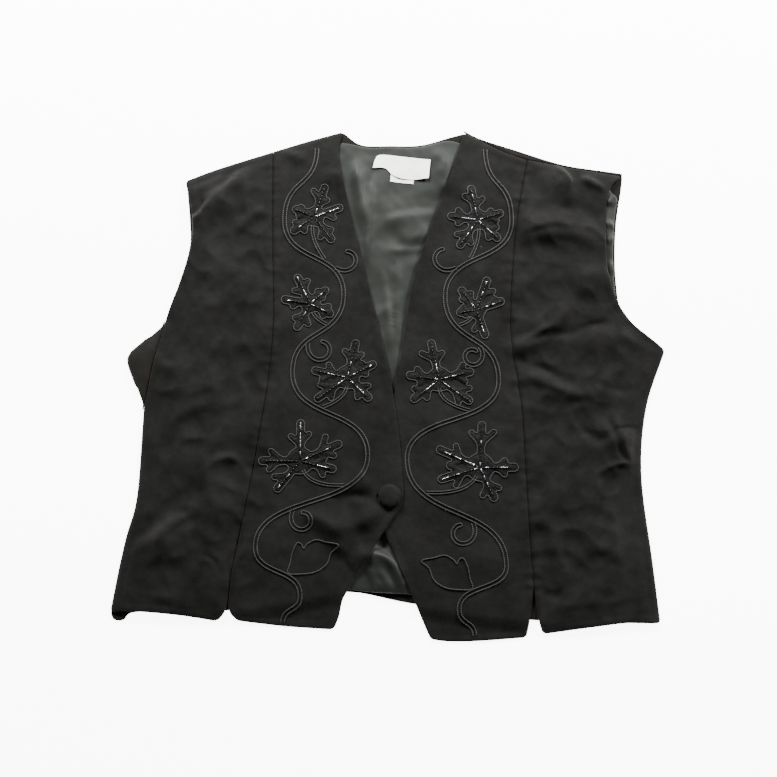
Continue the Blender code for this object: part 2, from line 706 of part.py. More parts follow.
def right_front():
    """The two panels of the right front. It gives the centre panel and its top side."""
    part = [-GAP / 2, 0.0]
    side = coons(
        edge(("right shoulder, outer", SIDE_COLUMNS)),
        edge(("right side hem", SIDE_COLUMNS)),
        edge(
            ("right armhole", ARMHOLE_ROWS),
            ("right side, upper", UNDERARM_ROWS),
            ("right side, lower", SIDE_ROWS),
        ),
        edge(("right seam", SEAM_ROWS), ("right slit, side", SLIT_ROWS)),
    )
    centre = coons(
        edge(("right shoulder, inner", CENTRE_COLUMNS)),
        edge(("right centre hem", CENTRE_COLUMNS)),
        edge(("right seam", SEAM_ROWS), ("right slit, centre", SLIT_ROWS)),
        edge(("right neck edge", NECK_ROWS), ("right point", POINT_ROWS)),
    )
    side[:, -1] += part
    centre[:, 0] -= part
    cloth("right_front_side", side, front_under, FRONT_THICKNESS, "velveteen")
    return cloth("right_front_centre", centre, right_centre_under, FRONT_THICKNESS, "velveteen")


def left_front():
    """The two panels of the left front. It gives the centre panel's top side."""
    part = [GAP / 2, 0.0]
    centre = coons(
        edge(("left shoulder, inner", CENTRE_COLUMNS)),
        edge(("left centre hem", CENTRE_COLUMNS)),
        edge(("left neck edge", NECK_ROWS), ("left point", POINT_ROWS)),
        edge(("left seam", SEAM_ROWS), ("left slit, centre", SLIT_ROWS)),
    )
    side = coons(
        edge(("left shoulder, outer", SIDE_COLUMNS)),
        edge(("left side hem", SIDE_COLUMNS)),
        edge(("left seam", SEAM_ROWS), ("left slit, side", SLIT_ROWS)),
        edge(("left armhole", LEFT_ARMHOLE_ROWS), ("left side", LEFT_SIDE_ROWS)),
    )
    centre[:, -1] -= part
    side[:, 0] += part
    cloth("left_front_side", side, front_under, FRONT_THICKNESS, "velveteen")
    return cloth("left_front_centre", centre, front_under, FRONT_THICKNESS, "velveteen")[1]


def back_turned_over():
    """The strips of the back that come over to the front, at the right underarm and left shoulder."""
    half = UNDERARM_ROWS // 2
    fold = edge(("right underarm", half), ("right underarm fold", half))
    seam = edge(("right side, upper", UNDERARM_ROWS)) - [GAP, 0.0]
    fold[0] = seam[0] + [-LEAST_TURN, -LEAST_TURN / 2]
    fold[-1] = seam[-1] + [-LEAST_TURN, LEAST_TURN / 2]
    underarm = np.stack([fold, (fold + seam) / 2, seam], axis=1)
    cloth("back_underarm_turn", underarm, front_under, FRONT_THICKNESS, "back_cloth")
    half = SHOULDER_STEPS // 2
    seam = edge(("left shoulder, inner", half), ("left shoulder, outer", half)) + [0.0, GAP]
    fold = np.maximum(edge(("left shoulder fold", SHOULDER_STEPS)), seam + [0.0, LEAST_TURN])
    fold[:, 0] = seam[:, 0]
    shoulder = np.stack([fold, seam], axis=1)
    cloth("back_shoulder_turn", shoulder, front_under, FRONT_THICKNESS, "back_cloth")


def inset(curve, inwards, at_edge):
    """An edge moved inwards: further where it is sewn than where it is open."""
    sewn = smoothstep(from_seams(curve[:, 0], curve[:, 1]) / LINING_AT_SEAM)
    amount = LINING_AT_SEAM + (at_edge - LINING_AT_SEAM) * sewn
    return left_of(curve) * inwards * amount[:, None]


def back_and_lining():
    """The back, flat on the table, and the lining on it. It gives the lining's top side."""
    top = edge(
        ("right shoulder, outer", 5),
        ("right shoulder, inner", 4),
        ("back neck", 8),
        ("left shoulder fold", 7),
    )
    left = edge(
        ("back right armhole", 7),
        ("right underarm", 3),
        ("right underarm fold", 3),
        ("right side, lower", 9),
    )
    right = edge(("back left armhole", 11), ("left side", 11))
    bottom = edge(("back hem", len(top) - 1))
    outline = np.concatenate([top, right[1:], bottom[::-1][1:], left[::-1][:-1]])
    slab("back", outline, 0.0, BACK_THICKNESS, "back_cloth")
    move_top, move_bottom = inset(top, -1, LINING_AT_EDGE), inset(bottom, 1, LINING_AT_HEM)
    move_left, move_right = inset(left, 1, LINING_AT_EDGE), inset(right, -1, LINING_AT_EDGE)
    for move_a, a, move_b, b in (
        (move_top, 0, move_left, 0),
        (move_top, -1, move_right, 0),
        (move_bottom, 0, move_left, -1),
        (move_bottom, -1, move_right, -1),
    ):
        both = move_a[a] + move_b[b]
        move_a[a] = both
        move_b[b] = both
    grid = coons(top + move_top, bottom + move_bottom, left + move_left, right + move_right)
    return cloth("back_lining", grid, lining_under, LINING_THICKNESS, "satin")[1]


def labels(lining_top):
    """The woven label at the back neck, and the size label tucked under it. Both are blank."""
    width, depth = SIZE_LABEL_SIZE
    turn = math.radians(SIZE_LABEL_TURN)
    u, v = np.meshgrid(np.linspace(-width / 2, width / 2, 4), np.linspace(depth / 2, -depth / 2, 3))
    turned = [u * math.cos(turn) - v * math.sin(turn), u * math.sin(turn) + v * math.cos(turn)]
    small = np.stack(turned, axis=-1) + SIZE_LABEL_CENTRE

    def on_lining(x, y):
        return seat(lining_top, np.column_stack([x, y]))

    thin = LABEL_THICKNESS / 2
    cloth("size_label", small, on_lining, thin, "label_tape")
    levels = np.linspace(0.0, 1.0, 4)[:, None, None]
    grid = smooth_curve(LABEL_TOP, 8)[None] * (1 - levels) + smooth_curve(LABEL_BOTTOM, 8)[None] * levels
    cloth("label", grid, lambda x, y: on_lining(x, y) + thin + GAP, LABEL_THICKNESS, "label_tape")


def main():
    clear_scene()
    labels(back_and_lining())
    back_turned_over()
    left_top = left_front()
    right_panel, right_top = right_front()
    sewn_work("left", left_top)
    sewn_work("right", right_top)
    button(left_top, right_top)
    cut_buttonhole(right_panel)


main()
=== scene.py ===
"""A woman's folk waistcoat in black velveteen, laid out flat with its front side up.

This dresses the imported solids. Each cloth becomes a thin wall with rolled edges, creases and a nap, the
vines and curls become twin cords, the leaves become stitched pads with a cord edge and veins of bugle
beads, and the button is covered in the fronts' cloth.

The tables are in millimetres as the garment lies, x to the wearer's left and y to the neck. They are the
part's own tables, with the hems and the corners fitted closer to the photo and small creases added. A
mesh is moved to the frame's origin when it is made.
"""

import json
import math

import bpy
import numpy as np
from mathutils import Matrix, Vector

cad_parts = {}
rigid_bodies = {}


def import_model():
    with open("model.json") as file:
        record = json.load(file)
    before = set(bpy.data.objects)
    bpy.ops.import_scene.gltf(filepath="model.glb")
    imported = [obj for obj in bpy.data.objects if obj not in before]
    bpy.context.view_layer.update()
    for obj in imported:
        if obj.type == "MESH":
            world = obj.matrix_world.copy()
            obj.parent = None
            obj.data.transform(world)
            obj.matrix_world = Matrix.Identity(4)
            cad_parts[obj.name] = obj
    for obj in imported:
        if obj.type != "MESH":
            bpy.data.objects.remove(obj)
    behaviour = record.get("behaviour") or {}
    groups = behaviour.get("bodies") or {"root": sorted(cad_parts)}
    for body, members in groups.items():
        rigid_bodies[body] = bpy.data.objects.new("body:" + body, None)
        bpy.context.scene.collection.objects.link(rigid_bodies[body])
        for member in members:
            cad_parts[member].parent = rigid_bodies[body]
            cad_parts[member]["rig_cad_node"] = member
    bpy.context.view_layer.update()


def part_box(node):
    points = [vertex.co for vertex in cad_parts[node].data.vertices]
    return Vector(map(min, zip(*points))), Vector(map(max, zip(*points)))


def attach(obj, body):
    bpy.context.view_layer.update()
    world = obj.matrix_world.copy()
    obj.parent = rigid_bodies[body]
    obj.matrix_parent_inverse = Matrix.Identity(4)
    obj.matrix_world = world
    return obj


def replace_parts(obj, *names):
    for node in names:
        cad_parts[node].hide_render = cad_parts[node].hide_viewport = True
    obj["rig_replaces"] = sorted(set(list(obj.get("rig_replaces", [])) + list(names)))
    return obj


bl_info = {
    "name": "Folk Waistcoat",
    "version": (1, 0, 0),
    "blender": (4, 5, 0),
    "location": "3D View > Sidebar > Waistcoat",
    "description": "Dresses the solids of a flat-laid folk waistcoat in velveteen, satin, cord and beads",
    "category": "Object",
}

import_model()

MM = 0.001
TABLE_CENTRE = (4.0, 9.64)

# Layers, as in the solids
GAP = 0.3
BACK_THICKNESS = 1.4
LINING_THICKNESS = 1.0
FRONT_THICKNESS = 1.6
LINING_UNDER = BACK_THICKNESS + GAP
FRONT_UNDER = LINING_UNDER + LINING_THICKNESS + GAP
SEAM_UNDER = BACK_THICKNESS + GAP
SEAM_REACH = 12.0
LOFT = 2.5
LOFT_REACH = 45.0
LOFT_AT_HEM = 0.35
HEM_LOFT_REACH = 80.0
HEM_DROP_REACH = 15.0
LEAST_RISE = 1.1
SEAMS_MIDDLE = 3.0
LAP_CLEARANCE = 0.9
LAP_SLOPE = 16.0
LAP_FULL = 9.0
LINING_AT_SEAM = 15.0
LINING_AT_EDGE = 2.0
LINING_AT_HEM = 2.0
LINING_SHORT = 26.0
LINING_SLANT = 6.0

# Edges and seams as they are sewn
EDGE_ROUND = 1.6
ROLL_REACH = 4.0
ROLL_HEIGHT = 1.1
BACK_SIZE = (480.0, 440.0)
BACK_INSET = 1.2
SEAM_GAP = 0.25
CORNER_ROUND = 4.0
TABLE_CLEARANCE = 0.1
LEAST_WALL = 0.4
SEAM_DITCH = 1.3
SEAM_DITCH_WIDTH = 1.3
PUCKER_HEIGHT = 0.42
PUCKER_REACH = 7.0
PUCKER_LENGTH = 11.0
PUCKER_SEED = 20

# The turning inside an open edge is a low ridge, and its stitching is a ditch beside it
TURNING_HEIGHT = 0.22
TURNING_AT = 4.0
TURNING_WIDTH = 2.6
STITCH_SHARE = 0.6
STITCH_AT = 8.5
STITCH_WIDTH = 1.6

# The lining's size, and the shares of its width where the neck and the armhole show it
LINING_SIZE = (470.0, 430.0)
NECK_AT = 0.508
NECK_HALF = 0.155
ARMHOLE_AT = 0.93
SHARE_MARGIN = 0.005

# The lining's middle seam
LINING_SEAM_AT = 4.5
LINING_SEAM_WIDTH = 0.9
LINING_SEAM_DEPTH = 0.35

# Unevenness of the cloth, as height, wave length and seed
FRONT_RIPPLES = [(0.55, 62.0, 1), (0.30, 24.0, 2), (0.10, 10.0, 3)]
FRONT_CRUMPLES = [(3.4, 90.0, 7), (1.7, 38.0, 8)]
LINING_RIPPLES = [(0.28, 34.0, 5), (0.12, 13.0, 6)]
LINING_CRUMPLES = [(0.8, 46.0, 9)]
CALM_HALF = 92.0
CALM_FADE = 34.0

# How a crease wanders: sideways by so many millimetres, and in its height
WANDER = 2.4
WANDER_LENGTH = 40.0
CREASE_MEAN = 0.9
CREASE_SPREAD = 0.4

# Steps of a curve
EDGE_STEPS = 160
CURVE_STEPS = 12

# Sewn work: vines, stems, curls, stitched pads and beads
VINE_SWING = 1.8
LEAF_STEPS = 240
STEM_START = 8.0
STEM_BEND = 0.4
SEAT = 0.03
CORD_SIDES = 8
CORD_FLATNESS = 0.8
TWIST_LENGTH = 1.6
VINE_STEP = 1.1
CURL_STEP = 0.9
STEM_SPACING = 2.3
CURL_SPACING = 3.2
TUFT_HEIGHT = 0.12
TUFT_LENGTH = 2.6
PAD_RIM = 0.2
PAD_RISE = 0.5
PAD_SLOPE = 2.5
FIRST_BEAD = 2.6
BEAD_GAP = 0.5
BEAD_SEAT = 0.75
SILVER_SHARE = 0.3
LEAST_TURN = 1.2

# Edges of the pieces as they lie, x and y, each a smooth curve through its points
EDGES = {
    "right shoulder, outer": [(-193, 200), (-162, 212), (-110, 229)],
    "right shoulder, inner": [(-110, 229), (-75, 240), (-43, 249)],
    "right armhole": [(-193, 200), (-185, 162), (-187, 128), (-209, 63)],
    "right side, upper": [(-209, 63), (-216, 33), (-227, -20)],
    "right side, lower": [(-227, -20), (-231, -100), (-240, -138), (-246, -168), (-252.5, -206)],
    "right side hem": [(-252.5, -206), (-234, -205.5), (-192, -209), (-155, -214.5)],
    "right seam": [(-110, 229), (-109, 142), (-108, 44), (-121, -56), (-143, -174)],
    "right slit, side": [(-143, -174), (-147, -203), (-155, -214.5)],
    "right slit, centre": [(-143, -174), (-144.8, -203), (-137.5, -214)],
    "right centre hem": [(-137.5, -214), (-94, -219), (-49.5, -222)],
    "right neck edge": [
        (-43, 249), (-46, 238), (-46, 216), (-29, 139), (-5, 40), (8, -30), (13, -82), (14, -98),
    ],
    "right point": [
        (14, -98), (12, -110), (1, -126), (-26, -168), (-37, -187), (-42, -196), (-44.5, -209), (-49.5, -222),
    ],
    "left shoulder, inner": [(72, 248), (110, 228), (132, 220)],
    "left shoulder, outer": [(132, 220), (182, 211), (222, 204)],
    "left armhole": [(222, 204), (210, 192), (205, 162), (206, 108), (222, 67), (258, 36)],
    "left side": [(258, 36), (239, -19), (233, -82), (241, -161), (246.5, -216.5)],
    "left side hem": [(140, -226), (181, -220.5), (219, -216), (246.5, -216.5)],
    "left seam": [(132, 220), (120, 150), (114, 55), (123, -19), (128, -122), (132, -184)],
    "left slit, side": [(132, -184), (136, -214), (140, -226)],
    "left slit, centre": [(132, -184), (128, -214), (125, -229)],
    "left centre hem": [(40, -231), (54, -232.5), (79, -232.3), (125, -229)],
    "left neck edge": [(72, 248), (55, 193), (25, 108), (8, 7), (-19, -102)],
    "left point": [(-19, -102), (10, -165), (36, -226), (40, -231)],
    "back neck": [(-43, 249), (-26, 236), (2, 235), (33, 236), (72, 248)],
    "back right armhole": [(-193, 200), (-188, 160), (-189, 128), (-209, 63)],
    "right underarm": [(-209, 63), (-229, 45), (-240, 35), (-243.6, 28)],
    "right underarm fold": [(-243.6, 28), (-242.6, 21), (-237, 6), (-227, -20)],
    "left shoulder fold": [(72, 248), (115, 234), (168, 217), (224, 207)],
    "back left armhole": [(224, 207), (215, 154), (214, 100), (222, 67), (258, 36)],
    "back hem": [
        (-253.5, -207.5), (-250, -213), (-240, -213), (-233, -206.5), (-190, -205), (-144, -204.5),
        (-100, -198), (-39, -188), (24, -199), (133, -213.5), (246.5, -216.5),
    ],
}

# The panels: their four edges, each as named edges with their shares of the parameter
PANELS = {
    "right_front_side": {
        "top": [("right shoulder, outer", 1)],
        "bottom": [("right side hem", 1)],
        "left": [("right armhole", 10), ("right side, upper", 6), ("right side, lower", 14)],
        "right": [("right seam", 26), ("right slit, side", 4)],
        "seam": "right",
    },
    "right_front_centre": {
        "top": [("right shoulder, inner", 1)],
        "bottom": [("right centre hem", 1)],
        "left": [("right seam", 26), ("right slit, centre", 4)],
        "right": [("right neck edge", 22), ("right point", 8)],
        "seam": "left",
    },
    "left_front_centre": {
        "top": [("left shoulder, inner", 1)],
        "bottom": [("left centre hem", 1)],
        "left": [("left neck edge", 22), ("left point", 8)],
        "right": [("left seam", 26), ("left slit, centre", 4)],
        "seam": "right",
    },
    "left_front_side": {
        "top": [("left shoulder, outer", 1)],
        "bottom": [("left side hem", 1)],
        "left": [("left seam", 26), ("left slit, side", 4)],
        "right": [("left armhole", 11), ("left side", 19)],
        "seam": "left",
    },
}

# Creases of the fronts. Each is a soft ridge from its start to its end. "bow" moves its middle to the
# left of its run, and a "lean" above 0 makes that side the steeper one.
FRONT_FOLDS = [
    # start x, y, end x, y, bow, height, width, lean
    (-130, 208, -184, 144, -4, 4.5, 13, 0.2),
    (-176, 196, -150, 160, 3, 2.5, 10, 0),
    (-152, 120, -118, 40, 8, 2.2, 18, 0),
    (-216, 20, -150, -10, 6, 2, 16, 0.1),
    (-150, -84, -222, -166, 5, 3, 18, 0),
    (-238, -142, -190, -147, 2, 2.4, 9, 0.3),
    (-182, -158, -186, -204, 2, 2, 11, 0),
    (-127, -132, -139, -190, 0, 2.6, 9, 0.3),
    (-66, 204, -42, 201, 1, 2.4, 9, 0.3),
    (121, 140, 204, 138, 8, 4.8, 11, -0.3),
    (150, 208, 174, 176, 5, 3.2, 9, 0.1),
    (113, 30, 172, 82, -5, 5.2, 10, -0.2),
    (176, 86, 214, 108, 4, 2.6, 12, 0),
    (118, 18, 222, -2, -5, 3.8, 12, 0.2),
    (170, 44, 240, 38, 4, 2.8, 13, 0),
    (206, -20, 226, -74, -5, 4.2, 10, 0.3),
    (196, -52, 238, -48, 2, 2.8, 9, -0.2),
    (150, -88, 204, -152, -6, 3, 15, 0),
    (158, -160, 162, -212, 3, 2.4, 13, 0),
    (60, 206, 72, 180, 2, 1.6, 9, 0),
    (60, -140, 96, -206, 5, 1.4, 18, 0),
]

# Creases that the button pulls in the right front's centre panel
BUTTON_FOLDS = [
    # start x, y, end x, y, bow, height, width, lean
    (-4, -112, -60, -130, 6, 4, 10, 0.2),
    (-12, -90, -52, -100, -4, 2.6, 9, 0),
    (-72, -118, -30, -152, 4, 2.6, 9, 0.1),
]

# Creases of the lining, where the neck and the hem show it
LINING_FOLDS = [
    # start x, y, end x, y, bow, height, width, lean
    (-26, 222, -24, 150, -3, 3, 8, 0),
    (-8, 216, -26, 104, 2, 2.6, 12, -0.5),
    (-2, 158, 34, 158, 2, 1.6, 8, 0),
    (8, 146, 42, 150, -3, 1.8, 9, -0.3),
    (44, 232, 52, 186, 3, 2.2, 10, 0),
    (-12, 98, 6, -10, 3, 1.6, 11, 0),
    (-26, -150, 14, -188, 10, 4, 9, 0.2),
    (-8, -150, -4, -190, -2, 3.2, 8, 0),
    (-34, -168, -16, -152, 2, 2.4, 8, 0),
]

# Smaller creases and dents that only this skin has
FRONT_CREASES = [
    # start x, y, end x, y, bow, height, width, lean
    (-190, 170, -134, 221, 0, -2.2, 5, 0),
    (-188, 151, -136, 209, 0, 1.6, 6, 0.2),
    (-148, 147, -114, 170, 2, 2.7, 5.1, 0.1),
    (-172, 102, -140, 111, 3, 2.4, 11, 0),
    (-122, 121, -126, 79, 2, -2.4, 5.1, 0),
    (-115, 108, -124, 71, 2, 2.1, 4.2, 0),
    (-214, 67, -216, 4, -2, 2.4, 4.2, 0),
    (-180, -108, -238, -143, -5, -3.6, 7.6, 0),
    (-169, -106, -211, -145, -4, 3.6, 7.6, 0.2),
    (-170, -82, -137, -63, 2, 2.4, 5.1, 0),
    (-208, -117, -208, -166, 0, 1.8, 9.3, 0),
    (-133, -122, -143, -179, -2, -2.7, 3.8, 0),
    (-127, -122, -138, -175, -3, 2.4, 3.4, 0),
    (-169, -154, -155, -166, 1, -1, 3, 0),
    (-175, -172, -176, -204, 0, -2.1, 3.8, 0),
    (122, 145, 206, 142, 13, 3.8, 6.4, -0.4),
    (157, 217, 171, 189, 3, 3.6, 3.8, 0.2),
    (155, 178, 202, 156, 2, -2.2, 6.8, 0),
    (180, 200, 205, 190, 1, 2.7, 4.2, 0),
    (114, 40, 167, 82, -3, -2, 6, 0),
    (113, 32, 163, 70, -3, 1.2, 7, 0),
    (127, 39, 207, 60, 3, -3, 5.1, 0),
    (115, 27, 223, -2, -6, -4.2, 5.5, 0),
    (119, 16, 172, -2, -4, 2.7, 5.1, 0),
    (174, -37, 205, -46, -4, -2.8, 5.5, 0),
    (204, -26, 220, -70, -3, -2.8, 3.4, 0),
    (210, -49, 234, -54, 0, 3, 6, 0),
    (208, -41, 236, -41, 0, -2, 3, 0),
    (193, -80, 221, -69, 1, 2.7, 3, 0),
    (210, -84, 190, -130, -4, -3.3, 4.7, 0),
    (134, -126, 144, -164, 2, -2.7, 6.8, 0),
    (142, -184, 156, -190, 0, -2.1, 6, 0),
    (207, -128, 208, -164, 0, 2.1, 6, 0),
    (-78, -116, -35, -159, 6, 2.2, 5, 0.1),
    (-54, -106, -15, -102, 2, -2.4, 4.2, 0),
    (-102, 229, -81, 217, 2, 2.1, 5.1, 0),
    (-217, -188, -190, -195, 1, 1.4, 5.1, 0),
    (-188, 165, -170, 182, 0, -3.4, 3, 0),
    (-186, 158, -166, 178, 0, 2, 3, 0),
    (-203, -30, -151, -15, 4, 2.2, 8.5, 0),
    (-211, -54, -169, -48, -4, -2.1, 6.8, 0),
    (141, -13, 187, -7, 3, 2.1, 7.6, 0),
    (166, -159, 204, -152, 3, 2.1, 6.8, 0),
    (156, -201, 220, -193, -2, 1.5, 6, 0),
]

LINING_CREASES = [
    # start x, y, end x, y, bow, height, width, lean
    (-14, 203, -21, 119, 0, 2.7, 3.4, 0.3),
    (-31, 217, -22, 160, 0, 2.5, 3.4, 0),
    (-40, 215, -29, 133, 0, -1.7, 3.4, 0),
    (-2, 132, 39, 134, -2, 0.9, 3, -0.2),
    (-4, 160, 49, 168, 2, 0.9, 4.2, 0),
    (37, 145, 51, 176, 0, -1.1, 4.2, 0),
    (55, 225, 53, 186, 1, 2, 4.2, 0),
    (-6, 113, 3, 27, 1, 1.8, 3.4, 0),
    (9, 121, 7, 46, 0, 1.6, 3.4, 0),
    (-15, -152, 12, -184, 8, 3.4, 3.4, 0),
    (-11, -148, 0, -146, 0, -2.2, 3.4, 0),
    (-10, -168, 3, -190, 2, 2.2, 3, 0),
    (-21, -164, -8, -188, 2, 1.8, 3.4, 0),
    (14, -177, 18, -195, 0, 1.8, 3.4, 0),
    (208, 176, 216, 186, 0, 2.7, 3, 0),
    (206, 160, 213, 154, 0, 2.2, 2.5, 0),
    (207, 139, 213, 145, 0, 2, 2.5, 0),
    (208, 121, 212, 109, 0, 1.6, 3, 0),
]

# Where the vines bend, x and y
VINE_BENDS = {
    "right": [
        (-68, 231), (-98, 160), (-42, 88), (-89, 14), (-19, -64), (-121, -148), (-80, -192), (-96, -216),
    ],
    "left": [
        (92, 230), (116, 160), (53, 86), (102, 6), (17, -67), (107, -165), (64, -204), (78, -228),
    ],
}

# A leaf's middle, where its stem meets the vine, and its five long lobes with the way each points
LEAVES = {
    # centre x, y, stem at, ((degrees, length), ...)
    "right": [
        (-70, 163, 1.62, ((71, 31), (158, 21), (216, 27), (306, 29), (20, 27))),
        (-73, 79, 2.36, ((116, 29), (171, 26), (242, 27), (332, 24), (42, 21))),
        (-38, 9, 3.42, ((77, 34), (168, 32), (216, 37), (315, 29), (27, 28))),
        (-81, -69, 4.28, ((90, 36), (180, 36), (231, 34), (346, 32), (24, 39))),
    ],
    "left": [
        (84, 160, 1.58, ((101, 32), (172, 27), (236, 31), (316, 28), (16, 24))),
        (82, 73, 2.30, ((70, 31), (126, 25), (190, 18), (288, 27), (19, 26))),
        (47, 7, 3.36, ((102, 36), (172, 29), (218, 31), (324, 35), (14, 31))),
        (84, -75, 4.26, ((87, 40), (156, 41), (197, 38), (294, 32), (0, 33))),
    ],
}

# Sizes of a leaf. It grows to its stitched size, and each long lobe has a pair of short ones.
LEAF_GROWTH = 1.08
LOBE_BASE = 3.5
LOBE_END = 4.2
SIDE_LOBE_AT = 0.5
SIDE_LOBE_TURN = 48.0
SIDE_LOBE_SHARE = 0.34
SIDE_LOBE_BASE = 2.9
SIDE_LOBE_END = 3.2
LEAF_MIDDLE_SHARE = 0.36
LEAF_BLEND = 0.9
LEAF_SAMPLES = 220
LEAF_ROUNDS = 60
LEAF_HALF = 50.0
PAD_STEP = 0.9

# Curls of the vines
CURLS = {
    # at, lean away from the vine, turn, length
    "right": [(1.74, 14, 205, 38), (2.66, 44, 262, 48), (4.62, 46, 288, 48)],
    "left": [(1.72, 12, 195, 40), (2.62, 22, 330, 50), (4.62, 40, 280, 52)],
}

# Where a bud's foot is on its vine, and its outline from there
BUD_AT = 5.62
BUD_OUTLINE = [
    (1, 0), (3, 9), (5, 19), (9, 27), (13, 26), (15, 22), (18, 26), (26, 30), (35, 28), (47, 25),
    (40, 18), (36, 8), (26, 1), (12, -1),
]

# The neck label's upper and lower edge, and both labels' sizes
LABEL_TOP = [(-13, 220), (-8, 225), (14, 223), (40, 220)]
LABEL_BOTTOM = [(-15, 212), (-3, 211.5), (5, 204), (20, 200.5), (38, 201.5)]
LABEL_SIZE = (55.0, 14.0)
LABEL_WALL = 0.45
LABEL_LIFT = 0.6
LABEL_CURL = 1.5
LABEL_WAVE = 0.35
SIZE_LABEL_CENTRE = (13.0, 202.0)
SIZE_LABEL_SIZE = (22.0, 9.0)
SIZE_LABEL_TURN = -5
SIZE_LABEL_WALL = 0.3
SIZE_LABEL_LIFT = 0.08
TAPE_EDGE = (0.0, 0.25)

# The button and its hole
BUTTON_CENTRE = (1.0, -101.5)
BUTTON_RADIUS = 10.5
BUTTON_HEIGHT = 5.0
BUTTON_RIM = 1.6
BUTTON_SIDES = 72
SHANK_RADIUS = 1.8
BUTTONHOLE_LENGTH = 17.0
BUTTONHOLE_WIDTH = 4.6
BUTTONHOLE_SHIFT = -3.0
CUTTER_HEIGHTS = (-5.0, 40.0)


def linear(hex_colour):
    """An sRGB hex colour as linear red, green and blue."""
    values = [int(hex_colour[k : k + 2], 16) / 255 for k in (1, 3, 5)]
    return tuple(v / 12.92 if v <= 0.04045 else ((v + 0.055) / 1.055) ** 2.4 for v in values)


def colour(hex_colour, name, description):
    return bpy.props.FloatVectorProperty(
        name=name, description=description, default=linear(hex_colour), subtype="COLOR", size=3, min=0, max=1
    )


def size(millimetres, name, description):
    return bpy.props.FloatProperty(
        name=name, description=description, default=millimetres * MM, unit="LENGTH", min=0
    )


class WaistcoatSizes(bpy.types.PropertyGroup):
    """Sizes that a user would change."""

    grid_step: size(1.7, "Cloth step", "Distance between the points of a front panel")
    lining_step: size(2.4, "Lining step", "Distance between the lining's points where it shows")
    back_step: size(3.6, "Back step", "Distance between the back's points")
    cord_width: size(1.2, "Cord width", "Width of one cord of a vine")
    cord_spacing: size(3.3, "Cord spacing", "Distance between the middles of a vine's two cords")
    edge_cord_width: size(1.15, "Leaf cord width", "Width of the cord round a leaf")
    bead_length: size(2.9, "Bead length", "Length of a bugle bead")
    bead_width: size(0.95, "Bead width", "Diameter of a bugle bead")


class WaistcoatColours(bpy.types.PropertyGroup):
    """Colours that a user would change."""

    nap_dark: colour("#0e0e0d", "Nap, dark", "Velveteen where the nap leans away")
    nap_light_and_sheen: colour("#171716", "Nap, light", "Velveteen where the nap leans to the light")
    back: colour("#100e0b", "Back cloth", "Cloth of the back")
    lining: colour("#1c1e1b", "Lining", "Satin of the lining")
    cord: colour("#242322", "Cord", "Couched cord")
    thread: colour("#0b0b0a", "Stitching", "Thread that fills the leaves")
    label: colour("#f4f4ea", "Label", "Woven tape of the labels")


class WaistcoatSettings(bpy.types.PropertyGroup):
    """All settings of the waistcoat."""

    sizes: bpy.props.PointerProperty(type=WaistcoatSizes)
    colours: bpy.props.PointerProperty(type=WaistcoatColours)


def in_mm(value):
    return value / MM


def smoothstep(t):
    """3t² - 2t³ between 0 and 1, level at both ends."""
    t = np.clip(t, 0.0, 1.0)
    return t * t * (3.0 - 2.0 * t)


def rounded(away, radius):
    """1 at an edge, falling along a quarter circle to 0 at the radius."""
    inwards = np.clip(1.0 - away / radius, 0.0, 1.0)
    return 1.0 - np.sqrt(1.0 - inwards**2)


def between(t, at, points):
    """A row of points, whose parameters are given, read off at other parameters."""
    return np.stack([np.interp(t, at, points[:, k]) for k in range(points.shape[1])], axis=1)


def run_along(points):
    """How far each point of a polyline is from its start, along it."""
    return np.concatenate([[0.0], np.cumsum(np.linalg.norm(np.diff(points, axis=0), axis=1))])


def evenly(points, count):
    """A polyline's points set at even distances along it."""
    run = run_along(points)
    return between(np.linspace(0.0, run[-1], count + 1), run, points)


def path_length(points):
    return float(np.linalg.norm(np.diff(points, axis=0), axis=1).sum())


def softened(before, row, after, spread):
    """A row of points, each replaced by the bell-weighted mean of its neighbours. The points before and
    after it carry the row on past its ends."""
    bell = np.exp(-((np.arange(-len(before), len(before) + 1) / spread) ** 2))
    held = np.concatenate([before, row, after])
    return np.stack([np.convolve(held[:, k], bell / bell.sum(), mode="valid") for k in (0, 1)], axis=1)


def smooth_curve(points, steps, closed=False):
    """Evenly set points on a Catmull-Rom curve: a cubic between each two points, whose slope at a point
    is half the run from the point before it to the one after it."""
    given = np.array(points, float)
    if closed:
        held = np.concatenate([given[-1:], given, given[:2]])
    else:
        held = np.concatenate([2 * given[:1] - given[1:2], given, 2 * given[-1:] - given[-2:-1]])
    a, b, c, d = (held[k : len(held) - 3 + k, None] for k in range(4))
    t = np.linspace(0.0, 1.0, CURVE_STEPS, endpoint=False)[None, :, None]
    bent = (2 * a - 5 * b + 4 * c - d) * t**2 + (3 * b - a - 3 * c + d) * t**3
    curve = 0.5 * (2 * b + (c - a) * t + bent)
    last = given[:1] if closed else given[-1:]
    return evenly(np.concatenate([curve.reshape(-1, 2), last]), steps)


def edge_at(parts, t):
    """Points of named edges set end to end, at parameters from 0 to 1. Each edge takes its share of the
    parameter and is travelled evenly."""
    shares = np.array([share for _, share in parts], float)
    starts = np.concatenate([[0.0], np.cumsum(shares)]) / shares.sum()
    curve = np.concatenate([smooth_curve(EDGES[name], EDGE_STEPS) for name, _ in parts])
    at = np.concatenate([np.linspace(a, b, EDGE_STEPS + 1) for a, b in zip(starts, starts[1:])])
    return between(t, at, curve)


def left_of(curve, closed=False):
    """Unit vectors to the left of a path's run."""
    if closed:
        run = np.roll(curve, -1, axis=0) - np.roll(curve, 1, axis=0)
    else:
        run = np.gradient(curve, axis=0)
    run = run / np.linalg.norm(run, axis=1, keepdims=True)
    return np.stack([-run[:, 1], run[:, 0]], axis=1)


